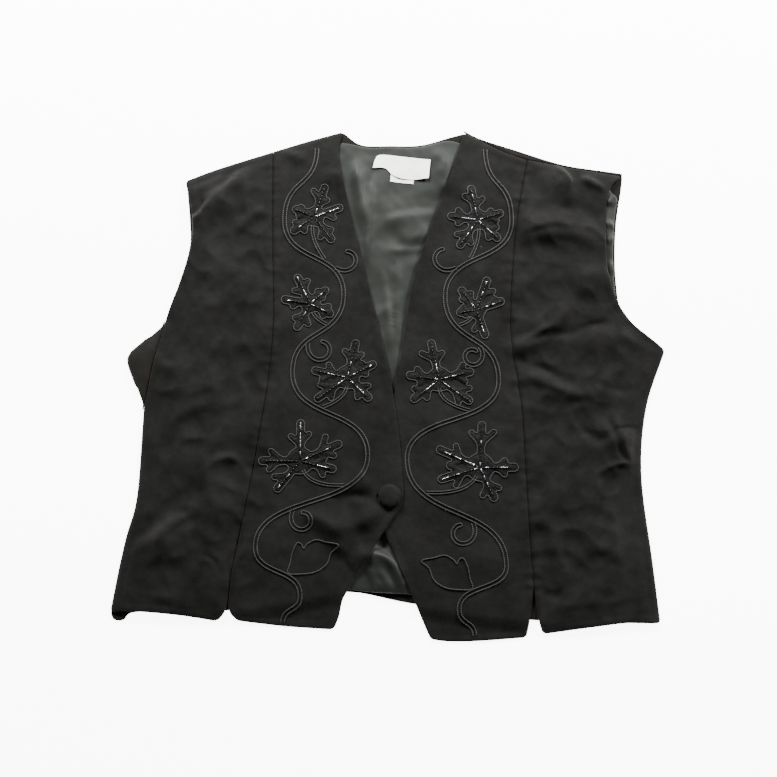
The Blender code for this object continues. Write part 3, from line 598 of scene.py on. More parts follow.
def coons(top, bottom, left, right, u, v):
    """The grid between four edges: the two ruled surfaces added, less the bilinear one."""
    u, v = u[None, :, None], v[:, None, None]
    across = (1 - v) * top[None] + v * bottom[None]
    down = (1 - u) * left[:, None] + u * right[:, None]
    corners = (1 - u) * (1 - v) * top[0] + u * (1 - v) * top[-1]
    corners = corners + (1 - u) * v * bottom[0] + u * v * bottom[-1]
    return across + down - corners


def distance(x, y, curve):
    """How far each point is from a polyline: the least distance to its stretches."""
    nearest = np.full(np.shape(x), np.inf)
    for (ax, ay), (bx, by) in zip(curve, curve[1:]):
        run_x, run_y = bx - ax, by - ay
        t = np.clip(((x - ax) * run_x + (y - ay) * run_y) / (run_x**2 + run_y**2), 0.0, 1.0)
        nearest = np.minimum(nearest, np.hypot(x - ax - t * run_x, y - ay - t * run_y))
    return nearest


def relief(x, y, folds):
    """The soft ridges of a table added up: a bell across each, which fades out at both ends."""
    total = np.zeros(np.shape(x))
    for ax, ay, bx, by, bow, height, width, lean in folds:
        length = math.hypot(bx - ax, by - ay)
        run_x, run_y = (bx - ax) / length, (by - ay) / length
        t = ((x - ax) * run_x + (y - ay) * run_y) / length
        side = (y - ay) * run_x - (x - ax) * run_y - bow * 4 * t * (1 - t)
        spread = width * np.where(side > 0, 1 - lean, 1 + lean)
        ends = smoothstep((t + 0.1) / 0.35) * smoothstep((1.1 - t) / 0.35)
        total += height * ends * np.exp(-((side / spread) ** 2))
    return total


def ripples(x, y, length, seed, waves=12):
    """Soft unevenness of about -1 to 1: plane waves of about one length in random directions, added."""
    draw = np.random.default_rng(seed)
    total = np.zeros(np.shape(x))
    for turn, share, start in draw.uniform((0, 0.6, 0), (2 * math.pi, 1.6, 2 * math.pi), (waves, 3)):
        along = np.asarray(x) * math.cos(turn) + np.asarray(y) * math.sin(turn)
        total += np.sin(2 * math.pi * along / (length * share) + start)
    return total / math.sqrt(2 * waves)


def crumple(x, y, length, seed):
    """Narrow ridges between soft hollows: the ripples' size, rounded off at 0 and turned over."""
    return 0.6 - np.sqrt(ripples(x, y, length, seed) ** 2 + 0.006)


def uneven(x, y, kind, rows):
    """Ripples or crumples of several lengths added up."""
    return sum(height * kind(x, y, length, seed) for height, length, seed in rows)


ENDS = np.linspace(0.0, 1.0, 40)
SEWN_EDGES = [
    edge_at([("right shoulder, outer", 1), ("right shoulder, inner", 1)], ENDS),
    edge_at([("right underarm", 1), ("right underarm fold", 1), ("right side, lower", 3)], ENDS),
    edge_at([("left shoulder fold", 1)], ENDS),
    edge_at([("left side", 1)], ENDS),
]
SEAMS = [edge_at([("right seam", 1)], ENDS), edge_at([("left seam", 1)], ENDS)]
BACK_HEM = edge_at([("back hem", 1)], np.linspace(0.0, 1.0, 60))
LEFT_FRONT_EDGE = edge_at([("left neck edge", 5), ("left point", 2)], ENDS)[::-1]


def from_seams(x, y):
    return np.min([distance(x, y, curve) for curve in SEWN_EDGES], axis=0)


def past_hem(x, y):
    return np.interp(x, BACK_HEM[:, 0], BACK_HEM[:, 1]) - y


def lining_under(x, y):
    """The solid's height and creases, with smaller creases and the slackness of thin satin."""
    slack = uneven(x, y, ripples, LINING_RIPPLES) + uneven(x, y, crumple, LINING_CRUMPLES)
    height = LINING_UNDER + relief(x, y, LINING_FOLDS) + relief(x, y, LINING_CREASES) + slack
    return np.maximum(height, LINING_UNDER)


def front_under(x, y):
    """Height of a front's underside. It comes down to the back at the sewn edges, is puffed up between
    them, lies on the table past the back's hem, and has small creases where it is puffed up."""
    sewn = from_seams(x, y)
    past = past_hem(x, y)
    at_hem = smoothstep(LOFT_AT_HEM - past / HEM_LOFT_REACH)
    loose = smoothstep(sewn / LOFT_REACH) * at_hem
    beside = smoothstep((np.abs(x - SEAMS_MIDDLE) - CALM_HALF) / CALM_FADE)
    small = uneven(x, y, ripples, FRONT_RIPPLES)
    small = small + (0.2 + 0.8 * beside) * uneven(x, y, crumple, FRONT_CRUMPLES)
    moved_x = x + WANDER * ripples(x, y, WANDER_LENGTH, 11)
    moved_y = y + WANDER * ripples(x, y, WANDER_LENGTH, 12)
    wandering = relief(moved_x, moved_y, FRONT_CREASES)
    wandering = wandering * (CREASE_MEAN + CREASE_SPREAD * ripples(x, y, 45.0, 13))
    creases = relief(x, y, FRONT_FOLDS) + relief(x, y, LINING_FOLDS) + wandering
    creases = creases + np.maximum(relief(x, y, LINING_CREASES), 0.0)
    risen = FRONT_UNDER - SEAM_UNDER + LOFT * loose + creases + small * (0.25 + 0.75 * loose)
    risen = LEAST_RISE + 0.4 * np.log1p(np.exp((risen - LEAST_RISE) / 0.4))
    height = SEAM_UNDER + risen * smoothstep(sewn / SEAM_REACH)
    return height * (1 - smoothstep((past - GAP) / HEM_DROP_REACH))


def right_centre_under(x, y):
    """The same, raised where the right front laps over the left one, with the button's pulls."""
    left_edge = np.interp(y, LEFT_FRONT_EDGE[:, 1], LEFT_FRONT_EDGE[:, 0])
    lapped = smoothstep((x - left_edge + LAP_FULL + LAP_SLOPE) / LAP_SLOPE)
    pulled = relief(x, y, BUTTON_FOLDS) * (1 - smoothstep(past_hem(x, y) / HEM_DROP_REACH))
    return front_under(x, y) + (FRONT_THICKNESS + LAP_CLEARANCE) * lapped + pulled


def puckers(x, y):
    """The seams' small gathers: short waves along a seam that die away beside it."""
    total = np.zeros(np.shape(x))
    for number, seam in enumerate(SEAMS):
        near = np.exp(-((distance(x, y, seam) / PUCKER_REACH) ** 2))
        total += near * ripples(np.zeros(np.shape(x)), y, PUCKER_LENGTH, PUCKER_SEED + number)
    return PUCKER_HEIGHT * total


def front_top(side):
    """The height function of a front's upper side, for what is sewn on it."""
    under = right_centre_under if side == "right" else front_under

    def height(x, y):
        return under(x, y) + FRONT_THICKNESS + puckers(x, y)

    return height


def put_mesh(name, points, faces, material, uv=None):
    """A closed, smooth mesh object at the origin from points in millimetres. Its signed volume, the sum
    of the tetrahedra from the origin to its faces, says whether the faces are turned inside out."""
    points = (np.asarray(points, float) - [TABLE_CENTRE[0], TABLE_CENTRE[1], 0.0]) * MM
    faces = np.asarray(faces)
    corners = points[faces]
    volume = np.einsum("ij,ij->", corners[:, 0], np.cross(corners[:, 1], corners[:, 2]))
    if faces.shape[1] == 4:
        volume += np.einsum("ij,ij->", corners[:, 0], np.cross(corners[:, 2], corners[:, 3]))
    if volume < 0:
        faces = faces[:, ::-1]
    mesh = bpy.data.meshes.new(name)
    mesh.from_pydata(points.tolist(), [], faces.tolist())
    mesh.materials.append(material)
    if uv is not None:
        layer = mesh.uv_layers.new(name="along")
        layer.data.foreach_set("uv", np.asarray(uv, np.float32)[faces.ravel()].ravel())
    mesh.shade_smooth()
    made = bpy.data.objects.new(name, mesh)
    bpy.context.scene.collection.objects.link(made)
    return made


def dress(made, slot_name, node_name=None):
    """Sets a piece on the body, in place of the solid that it stands for if there is one."""
    if not made.data.polygons:
        raise RuntimeError(f"{made.name} came out empty")
    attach(made, "root")
    if node_name:
        made.name = f"{node_name}.{slot_name}"
        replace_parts(made, node_name)


def spaced(length, step, close=(0.0, 0.3, 0.8, 1.6)):
    """Parameters from 0 to 1 along a length: close ones at both ends, for the rounded edges, and even
    ones between them."""
    ends = np.array(close) / length
    count = max(2, round((length - 2 * close[-1]) / step))
    middle = np.linspace(ends[-1], 1 - ends[-1], count + 1)[1:-1]
    return np.concatenate([ends, middle, 1 - ends[::-1]])


def wall(name, grid, low, high, material):
    """A closed wall of cloth: two heights over the same grid of points, joined round the rim."""
    rows, columns = grid.shape[:2]
    count = rows * columns
    index = np.arange(count).reshape(rows, columns)
    upper = np.stack([index[:-1, :-1], index[1:, :-1], index[1:, 1:], index[:-1, 1:]], axis=-1)
    upper = upper.reshape(-1, 4)
    rim = np.concatenate([index[0, :-1], index[:-1, -1], index[-1, :0:-1], index[:0:-1, 0]])
    after = np.roll(rim, -1)
    side = np.stack([rim, after, after + count, rim + count], axis=1)
    points = [np.dstack([grid, height]).reshape(-1, 3) for height in (high, low)]
    faces = np.concatenate([upper, upper[:, ::-1] + count, side])
    return put_mesh(name, np.concatenate(points), faces, material)


def from_border(grid, u, v):
    """How far each point of a grid is from its left, right, top and bottom edge, measured along the
    grid's own lines."""
    across = np.linalg.norm(grid[:, -1] - grid[:, 0], axis=1)[:, None]
    down = np.linalg.norm(grid[-1] - grid[0], axis=1)[None, :]
    u, v = u[None, :], v[:, None]
    return {"left": u * across, "right": (1 - u) * across, "top": v * down, "bottom": (1 - v) * down}


def round_corners(grid, away, seam):
    """Rounds every corner but the one at the top of the seam, if there is one. Near a corner a point's
    two distances to it, as shares s and t of the radius, become s·sqrt(1 - t²/2) and
    t·sqrt(1 - s²/2), which maps a square on a quarter disc."""
    across = np.gradient(grid, axis=1)
    across /= np.linalg.norm(across, axis=2, keepdims=True)
    down = np.gradient(grid, axis=0)
    down /= np.linalg.norm(down, axis=2, keepdims=True)
    moved = grid.copy()
    for side, inward in (("left", across), ("right", -across)):
        for end, inwards in (("top", down), ("bottom", -down)):
            if end == "top" and side == seam:
                continue
            s = np.clip(1 - away[side] / CORNER_ROUND, 0.0, 1.0) + np.zeros(grid.shape[:2])
            t = np.clip(1 - away[end] / CORNER_ROUND, 0.0, 1.0) + np.zeros(grid.shape[:2])
            moved += inward * (s * (1 - np.sqrt(1 - t**2 / 2)) * CORNER_ROUND)[..., None]
            moved += inwards * (t * (1 - np.sqrt(1 - s**2 / 2)) * CORNER_ROUND)[..., None]
    return moved


def softened_edge(parts, t):
    """An edge whose corners are rounded off: the bell-weighted mean of its neighbours, with the ends
    carried on straight so that they stay."""
    at = np.linspace(0.0, 1.0, 601)
    fine = edge_at(parts, at)
    soft = softened(2 * fine[0] - fine[12:0:-1], fine, 2 * fine[-1] - fine[-2:-14:-1], 5.0)
    return between(t, at, soft)


def panel_grid(spec, step):
    """A panel's grid of points and its two parameters."""
    ends = np.array([0.0, 1.0])
    top, bottom = edge_at(spec["top"], ends), edge_at(spec["bottom"], ends)
    middle = [edge_at(spec[side], np.array([0.5]))[0] for side in ("left", "right")]
    width = max(np.linalg.norm(top[1] - top[0]), np.linalg.norm(middle[1] - middle[0]))
    length = path_length(edge_at(spec["left"], np.linspace(0.0, 1.0, 60)))
    u, v = spaced(width, step), spaced(length, step)
    grid = coons(
        edge_at(spec["top"], u),
        edge_at(spec["bottom"], u),
        softened_edge(spec["left"], v),
        softened_edge(spec["right"], v),
        u,
        v,
    )
    return grid, u, v


def front_panel(name, step, under, material):
    """A front's panel. Its open edges are rounded and a little padded by their turning, its sewn outer
    edges roll down to the table, and the seam between panels is a ditch with puckers."""
    spec = PANELS[name]
    grid, u, v = panel_grid(spec, step)
    if spec["seam"] == "left":
        grid[:, 0, 0] += SEAM_GAP / 2
    else:
        grid[:, -1, 0] -= SEAM_GAP / 2
    away = from_border(grid, u, v)
    grid = round_corners(grid, away, spec["seam"])
    x, y = grid[..., 0], grid[..., 1]
    nearest = np.min(list(away.values()), axis=0)
    low = under(x, y)
    turning = np.exp(-(((nearest - TURNING_AT) / TURNING_WIDTH) ** 2))
    turning = turning - STITCH_SHARE * np.exp(-(((nearest - STITCH_AT) / STITCH_WIDTH) ** 2))
    high = low + FRONT_THICKNESS + puckers(x, y) + TURNING_HEIGHT * turning
    ditch = SEAM_DITCH * np.exp(-away[spec["seam"]] / SEAM_DITCH_WIDTH)
    high = high - ditch - 0.5 * FRONT_THICKNESS * rounded(nearest, EDGE_ROUND)
    low = low + 0.3 * FRONT_THICKNESS * rounded(nearest, EDGE_ROUND)
    sewn = from_seams(x, y)
    rolled = rounded(sewn, ROLL_REACH)
    high = high + (ROLL_HEIGHT - high) * rolled
    low = low + (TABLE_CLEARANCE - low) * np.sqrt(rolled)
    high = np.maximum(high, TABLE_CLEARANCE + LEAST_WALL)
    low = np.minimum(np.maximum(low, TABLE_CLEARANCE), high - 0.25)
    return wall(name, grid, low, high, material)


def cut_buttonhole(panel):
    """A slot with round ends through the panel, cut with an exact Boolean that is then applied."""
    radius = BUTTONHOLE_WIDTH / 2
    straight = BUTTONHOLE_LENGTH / 2 - radius
    turn = np.linspace(-math.pi / 2, math.pi / 2, 9)
    right = np.stack([straight + radius * np.cos(turn), radius * np.sin(turn)], axis=1)
    outline = np.concatenate([right, -right]) + [BUTTON_CENTRE[0] + BUTTONHOLE_SHIFT, BUTTON_CENTRE[1]]
    rings = [np.column_stack([outline, np.full(len(outline), height)]) for height in CUTTER_HEIGHTS]
    faces = tube_faces(len(rings), len(outline))
    cutter = put_mesh("buttonhole_cutter", np.concatenate(rings), faces, panel.data.materials[0])
    cut = panel.modifiers.new("buttonhole", "BOOLEAN")
    cut.operation = "DIFFERENCE"
    cut.solver = "EXACT"
    cut.object = cutter
    evaluated = panel.evaluated_get(bpy.context.evaluated_depsgraph_get())
    mesh = bpy.data.meshes.new_from_object(evaluated)
    panel.modifiers.clear()
    panel.data = mesh
    bpy.data.objects.remove(cutter)


def inset(parts, t, inwards, at_edge, at_seam):
    """How far an edge moves inwards at its parameters: by one amount where it is sewn and by another
    where it is open. The moves are softened along the edge, so that they turn gently at its corners."""
    at = np.linspace(0.0, 1.0, 401)
    fine = edge_at(parts, at)
    sewn = smoothstep(from_seams(fine[:, 0], fine[:, 1]) / LINING_AT_SEAM)
    move = left_of(fine) * inwards * (at_seam + (at_edge - at_seam) * sewn)[:, None]
    before, after = np.repeat(move[:1], 24, axis=0), np.repeat(move[-1:], 24, axis=0)
    return between(t, at, softened(before, move, after, 10.0))


def corner_share(t):
    """How much of the crossing edge's move a point takes: all at the corner, none past a tenth."""
    return (1 - smoothstep(t / 0.1))[:, None]


def whole_back_grid(u, v, at_seam, at_edge, at_hem):
    """The grid between the back's four edges, moved inwards at the seams, the open edges and the hem."""
    tops = [("right shoulder, outer", 5), ("right shoulder, inner", 4), ("back neck", 8),
            ("left shoulder fold", 7)]
    lefts = [("back right armhole", 7), ("right underarm", 3), ("right underarm fold", 3),
             ("right side, lower", 9)]
    rights = [("back left armhole", 11), ("left side", 11)]
    hems = [("back hem", 1)]
    top, bottom = edge_at(tops, u), edge_at(hems, u)
    left, right = softened_edge(lefts, v), softened_edge(rights, v)
    left = left + (bottom[0] - left[-1]) * smoothstep((v - 0.8) / 0.2)[:, None]
    up, down = inset(tops, u, -1, at_edge, at_seam), inset(hems, u, 1, at_hem, at_hem)
    out, back = inset(lefts, v, 1, at_edge, at_seam), inset(rights, v, -1, at_edge, at_seam)
    first_u, last_u = corner_share(u), corner_share(1 - u)
    first_v, last_v = corner_share(v), corner_share(1 - v)
    return coons(
        top + up + first_u * out[0] + last_u * back[0],
        bottom + down + first_u * out[-1] + last_u * back[-1],
        left + out + first_v * up[0] + last_v * down[0],
        right + back + first_v * up[-1] + last_v * down[-1],
        u,
        v,
    )


def back_panel(step, material):
    """The back, flat on the table, with rounded edges."""
    u, v = spaced(BACK_SIZE[0], step), spaced(BACK_SIZE[1], step)
    grid = whole_back_grid(u, v, BACK_INSET, 0.0, 0.0)
    away = from_border(grid, u, v)
    grid = round_corners(grid, away, None)
    nearest = np.min(list(away.values()), axis=0)
    round_edge = rounded(nearest, EDGE_ROUND)
    high = BACK_THICKNESS * (1 - 0.45 * round_edge)
    low = 0.25 * BACK_THICKNESS * round_edge
    return wall("back", grid, low, high, material)


def lining_panel(step, material):
    """The satin lining. Its columns are close where the neck and the armhole show it, and it is shorter
    beside the point, so that it doesn't show past the hems."""
    across, close = spaced(LINING_SIZE[0], 3 * step), spaced(LINING_SIZE[0], step)
    seen = (np.abs(close - NECK_AT) < NECK_HALF) | (close > ARMHOLE_AT)
    hidden = (np.abs(across - NECK_AT) > NECK_HALF + SHARE_MARGIN) & (across < ARMHOLE_AT - SHARE_MARGIN)
    u = np.sort(np.concatenate([across[hidden], close[seen]]))
    v = spaced(LINING_SIZE[1], step)
    grid = whole_back_grid(u, v, LINING_AT_SEAM, LINING_AT_EDGE, LINING_AT_HEM)
    ends = smoothstep((np.abs(grid[..., 0]) - 60.0) / 50.0) * smoothstep((v[:, None] - 0.8) / 0.2)
    slant = smoothstep((grid[..., 0] + 25.0) / 50.0) * smoothstep((v[:, None] - 0.8) / 0.2)
    grid[..., 1] += LINING_SHORT * ends + LINING_SLANT * slant
    nearest = np.min(list(from_border(grid, u, v).values()), axis=0)
    low = lining_under(grid[..., 0], grid[..., 1])
    seam = np.exp(-((grid[..., 0] - LINING_SEAM_AT) / LINING_SEAM_WIDTH) ** 2) * LINING_SEAM_DEPTH
    high = low + LINING_THICKNESS * (1 - 0.5 * rounded(nearest, EDGE_ROUND)) - seam
    return wall("back_lining", grid, low, high, material)


def strip(name, outer, inner, steps, material):
    """A strip of the back that comes over to the front. Its fold rolls down to the table."""
    v = np.linspace(0.0, 1.0, steps)
    u = np.array([0.0, 0.06, 0.15, 0.3, 0.5, 0.75, 0.92, 1.0])
    grid = outer(v)[:, None] * (1 - u)[None, :, None] + inner(v)[:, None] * u[None, :, None]
    x, y = grid[..., 0], grid[..., 1]
    rolled = rounded(from_seams(x, y), ROLL_REACH)
    low = front_under(x, y)
    seam_side = np.linalg.norm(grid - grid[:, -1:], axis=-1)
    high = low + FRONT_THICKNESS - 1.2 * np.exp(-seam_side / 1.3)
    high = high + (ROLL_HEIGHT - high) * rolled
    low = np.maximum(low + (TABLE_CLEARANCE - low) * np.sqrt(rolled), TABLE_CLEARANCE)
    return wall(name, grid, np.minimum(low, high - 0.25), high, material)


def tube_faces(rings, sides, closed=False):
    """The faces of a tube: quads from each ring of points to the next one, and a cap of quads at both
    ends, unless the tube runs back into itself."""
    start = np.arange(rings if closed else rings - 1)[:, None] * sides
    after = (start + sides) % (rings * sides)
    here = np.arange(sides)[None, :]
    there = (here + 1) % sides
    quads = np.stack([start + here, start + there, after + there, after + here], axis=-1).reshape(-1, 4)
    if closed:
        return quads
    k = np.arange(sides // 2 - 1)
    cap = np.stack([k, k + 1, sides - 2 - k, sides - 1 - k], axis=1)
    return np.concatenate([quads, cap[:, ::-1], cap + (rings - 1) * sides])


def cord_tube(name, paths, top, width, material, closed=False):
    """Cords laid on the cloth: a ring of points is carried along each path. Each ring stands across the
    path, is a little flattened, and rests on the cloth. U runs with the twist, V round it."""
    points, faces, uvs, start = [], [], [], 0
    radius = width / 2
    turn = np.linspace(0.0, 2 * math.pi, CORD_SIDES, endpoint=False)
    round_share = np.arange(CORD_SIDES) / CORD_SIDES
    for path in paths:
        share = np.ones((len(path), 1))
        if not closed:
            share[[0, -1]] = 0.45
        aside = radius * np.cos(turn) * share
        across = path[:, None, :] + left_of(path, closed)[:, None, :] * aside[..., None]
        height = top(path[:, 0], path[:, 1])
        up = height[:, None] + SEAT + radius * CORD_FLATNESS * (1 + np.sin(turn) * share)
        points.append(np.dstack([across, up]).reshape(-1, 3))
        twist = run_along(path)[:, None] / (TWIST_LENGTH * width) + round_share
        uvs.append(np.dstack([twist, np.broadcast_to(round_share, twist.shape)]).reshape(-1, 2))
        faces.append(tube_faces(len(path), CORD_SIDES, closed) + start)
        start += twist.size
    return put_mesh(name, np.concatenate(points), np.concatenate(faces), material, np.concatenate(uvs))


def vine_point(side, at):
    """Where the vine is at a bend number. From one bend to the next it is a Hermite curve whose two ends
    run straight down the panel."""
    bends = np.array(VINE_BENDS[side], float)
    at = np.atleast_1d(at)
    before = np.minimum(at.astype(int), len(bends) - 2)
    t = (at - before)[:, None]
    a, b = bends[before], bends[before + 1]
    pull = (b - a) * [0.0, VINE_SWING]
    return a + (b - a) * smoothstep(t) + pull * t * (1 - t) * (1 - 2 * t)


def vine_path(side, steps=500):
    return vine_point(side, np.linspace(0.0, len(VINE_BENDS[side]) - 1.001, steps))


def beside_vine(side, at, clear, towards=None):
    """A point beside the vine and the vine's heading there, on the side of the front's edge or of the
    point that "towards" gives."""
    before, here, after = vine_point(side, np.array([at - 0.01, at, at + 0.01]))
    run = (after - before) / np.linalg.norm(after - before)
    aside = np.array([-run[1], run[0]])
    if towards is None:
        sign = 1 if side == "right" else -1
    else:
        sign = np.sign(aside @ (np.asarray(towards) - here))
    return here + clear * sign * aside, math.atan2(run[1], run[0])


def leaf_bars(side, number):
    """The bars that make a leaf, as two ends and the half width at each. Every long lobe starts at the
    middle and swells to its round end, and its side lobes branch off it. Their turns and lengths vary a
    little, and a long lobe that would meet the vine stops short of it."""
    x, y, _, lobes = LEAVES[side][number]
    centre = np.array([x, y], float)
    draw = np.random.default_rng(100 + 10 * number + (0 if side == "right" else 5))
    vine = vine_path(side)
    middle = LEAF_MIDDLE_SHARE * np.mean([length for _, length in lobes])
    bars = [(centre, centre + [0.1, 0.0], middle, middle)]
    for degrees, length in lobes:
        length = length * LEAF_GROWTH
        angle = math.radians(degrees)
        way = np.array([math.cos(angle), math.sin(angle)])
        radii = np.linspace(8.0, length - LOBE_END, 40)
        gap = np.linalg.norm(vine[None] - (centre + radii[:, None] * way)[:, None], axis=2).min(axis=1)
        clear = np.cumprod(gap > LOBE_END + 3.2) > 0
        reach = radii[clear][-1] if clear.any() else radii[0]
        bars.append((centre, centre + reach * way, LOBE_BASE, LOBE_END))
        for sign in (-1, 1):
            if draw.uniform() < 0.1:
                continue
            beside = angle + sign * math.radians(SIDE_LOBE_TURN + draw.uniform(-7, 7))
            foot = centre + reach * (SIDE_LOBE_AT + draw.uniform(-0.08, 0.08)) * way
            run = reach * SIDE_LOBE_SHARE * draw.uniform(0.8, 1.2)
            tip = foot + run * np.array([math.cos(beside), math.sin(beside)])
            bars.append((foot, tip, SIDE_LOBE_BASE, SIDE_LOBE_END))
    return bars


def outside_leaf(points, bars):
    """How far points are outside the leaf's bars, blended softly where bars meet: the distance to each
    bar's middle line less its half width there, and the soft least of them."""
    total = np.zeros(points.shape[:-1])
    for start, end, base, tip in bars:
        run = end - start
        t = np.clip(((points - start) @ run) / (run @ run), 0.0, 1.0)
        away = np.linalg.norm(points - start - t[..., None] * run, axis=-1)
        total += np.exp(-(away - base - (tip - base) * smoothstep(t * 1.15)) / LEAF_BLEND)
    return -LEAF_BLEND * np.log(total)


def leaf_reach(side, number, angle):
    """How far a leaf reaches in each direction: the furthest point of the ray that is inside it."""
    x, y = LEAVES[side][number][:2]
    radii = np.linspace(2.0, LEAF_HALF, LEAF_SAMPLES)
    ways = np.stack([np.cos(angle), np.sin(angle)], axis=-1)
    points = np.array([x, y]) + radii[None, :, None] * ways[:, None, :]
    inside = outside_leaf(points, leaf_bars(side, number)) < 0
    last = LEAF_SAMPLES - 1 - np.argmax(inside[:, ::-1], axis=1)
    return radii[last]


def leaf_line(side, number, inwards):
    """The closed line that runs just inside a leaf's outline. It starts outside, and in each round its
    points are set evenly and move along its own normals by a share of their distance."""
    x, y = LEAVES[side][number][:2]
    bars = leaf_bars(side, number)
    angle = np.linspace(0.0, 2 * math.pi, LEAF_STEPS, endpoint=False)
    radius = leaf_reach(side, number, angle) + 2.0
    line = np.stack([x + radius * np.cos(angle), y + radius * np.sin(angle)], axis=-1)
    for _ in range(LEAF_ROUNDS):
        line = evenly(np.concatenate([line, line[:1]]), round(path_length(line) / 0.6))[:-1]
        move = np.clip(0.45 * (outside_leaf(line, bars) + inwards), -0.4, 0.4)
        line = line + left_of(line, closed=True) * move[:, None]
        line = softened(line[-3:], line, line[:3], 1.0)
    return line


def cell_wall(name, flat, inside, low, high, material):
    """A closed wall over some of a grid's cells: an upper and a lower face for each of them, and a side
    wherever the next cell is left out."""
    rows, columns = flat.shape[:2]
    count = rows * columns
    index = np.arange(count).reshape(rows, columns)
    a, b, c, d = index[:-1, :-1], index[:-1, 1:], index[1:, 1:], index[1:, :-1]
    upper = np.stack([a, b, c, d], axis=-1)[inside]
    held = np.pad(inside, 1)
    faces = [upper, upper[:, ::-1] + count]
    for start, end, beyond in (
        (a, b, held[:-2, 1:-1]), (b, c, held[1:-1, 2:]), (c, d, held[2:, 1:-1]), (d, a, held[1:-1, :-2]),
    ):
        rim = inside & ~beyond
        start, end = start[rim], end[rim]
        faces.append(np.stack([start, start + count, end + count, end], axis=-1))
    used, faces = np.unique(np.concatenate(faces), return_inverse=True)
    points = np.concatenate([np.dstack([flat, height]).reshape(-1, 3) for height in (high, low)])
    return put_mesh(name, points[used], faces.reshape(-1, 4), material)


def node(tree, kind, inputs=None, **settings):
    """Adds a node with its settings, and sets or links its inputs by name or number. A node that is
    given for an input is linked by its first output."""
    made = tree.nodes.new(kind)
    for name, value in settings.items():
        setattr(made, name, value)
    for name, value in (inputs or {}).items():
        if isinstance(value, bpy.types.Node):
            value = value.outputs[0]
        if isinstance(value, bpy.types.NodeSocket):
            tree.links.new(value, made.inputs[name])
        else:
            made.inputs[name].default_value = value
    return made


def material(name, build, colours=None):
    """The material of this name. A new one gets the pattern nodes and the shader inputs of its build
    function."""
    made = bpy.data.materials.get(name)
    if made is None:
        made = bpy.data.materials.new(name)
        made.use_nodes = True
        tree = made.node_tree
        tree.nodes.clear()
        shader = node(tree, "ShaderNodeBsdfPrincipled", build(tree, colours))
        node(tree, "ShaderNodeOutputMaterial", {"Surface": shader})
    return made


def opaque(rgb, share=1.0):
    return (rgb[0] * share, rgb[1] * share, rgb[2] * share, 1.0)


def mottled(tree, noise, half, dark, light):
    """A colour that goes from dark to light while a noise goes from 0.5 - half to 0.5 + half."""
    spread = {"Value": noise, "From Min": 0.5 - half, "From Max": 0.5 + half}
    share = node(tree, "ShaderNodeMapRange", spread)
    return node(tree, "ShaderNodeMix", {0: share, 6: dark, 7: light}, data_type="RGBA").outputs[2]


def velveteen(tree, colours):
    """Cotton velveteen, a short cut pile on a twill ground. The pile drinks light, and each patch that a
    hand has brushed leans its own way, so the black is mottled from brown to grey: partly the pile's own
    tone and partly painted sheen, the light that a leaning nap catches. A few light specks are lint."""
    place = node(tree, "ShaderNodeTexCoord").outputs["Object"]
    patches = node(tree, "ShaderNodeTexNoise", {
        "Vector": place, "Scale": 26.0, "Detail": 3.0, "Roughness": 0.55,
    })
    crushed = node(tree, "ShaderNodeTexNoise", {
        "Vector": place, "Scale": 130.0, "Detail": 4.0, "Roughness": 0.6,
    })
    pile = node(tree, "ShaderNodeTexNoise", {
        "Vector": place, "Scale": 1300.0, "Detail": 2.0, "Roughness": 0.7,
    })
    lean = node(tree, "ShaderNodeMath", {0: patches, 1: 0.62}, operation="MULTIPLY")
    lean = node(tree, "ShaderNodeMath", {0: crushed, 1: 0.38, 2: lean}, operation="MULTIPLY_ADD")
    # The mottle from dark to light nap is partly the pile's own tone and partly painted sheen
    nap = mottled(tree, lean, 0.14, opaque(colours.nap_dark), opaque(colours.nap_light_and_sheen))
    flecks = node(tree, "ShaderNodeTexVoronoi", {"Vector": place, "Scale": 60.0})
    near = node(tree, "ShaderNodeMapRange", {
        "Value": flecks, "From Min": 0.022, "From Max": 0.034, "To Min": 1.0, "To Max": 0.0,
    })
    chosen = node(tree, "ShaderNodeSeparateColor", {"Color": flecks.outputs["Color"]})
    few = node(tree, "ShaderNodeMath", {0: chosen, 1: 0.9}, operation="GREATER_THAN")
    lint = node(tree, "ShaderNodeMath", {0: near, 1: few}, operation="MULTIPLY")
    base = node(tree, "ShaderNodeMix", {
        0: lint, 6: nap, 7: opaque(linear("#4c4a46")),
    }, data_type="RGBA")
    height = node(tree, "ShaderNodeMath", {0: crushed, 1: 1.6, 2: pile}, operation="MULTIPLY_ADD")
    return {
        "Base Color": base.outputs[2],
        "Roughness": 0.92,
        "Specular IOR Level": 0.06,
        "Sheen Weight": 0.05,
        "Sheen Roughness": 0.45,
        "Sheen Tint": opaque(linear("#d8ccc4")),
        "Normal": node(tree, "ShaderNodeBump", {"Height": height, "Strength": 0.55, "Distance": 0.00035}),
    }


def back_cloth(tree, colours):
    """Wool-mix plain weave, matt and a touch browner than the fronts. Its threads are about 1 mm apart
    here, twice as coarse as they are, because finer ones wouldn't show."""
    place = node(tree, "ShaderNodeTexCoord").outputs["Object"]
    threads = node(tree, "ShaderNodeTexNoise", {"Vector": place, "Scale": 900.0, "Detail": 2.0})
    worn = node(tree, "ShaderNodeTexNoise", {"Vector": place, "Scale": 40.0, "Detail": 4.0})
    return {
        "Base Color": mottled(tree, worn, 0.15, opaque(colours.back, 0.75), opaque(colours.back, 1.2)),
        "Roughness": 0.85,
        "Specular IOR Level": 0.1,
        "Sheen Weight": 0.03,
        "Normal": node(tree, "ShaderNodeBump", {"Height": threads, "Strength": 0.5, "Distance": 0.0003}),
    }


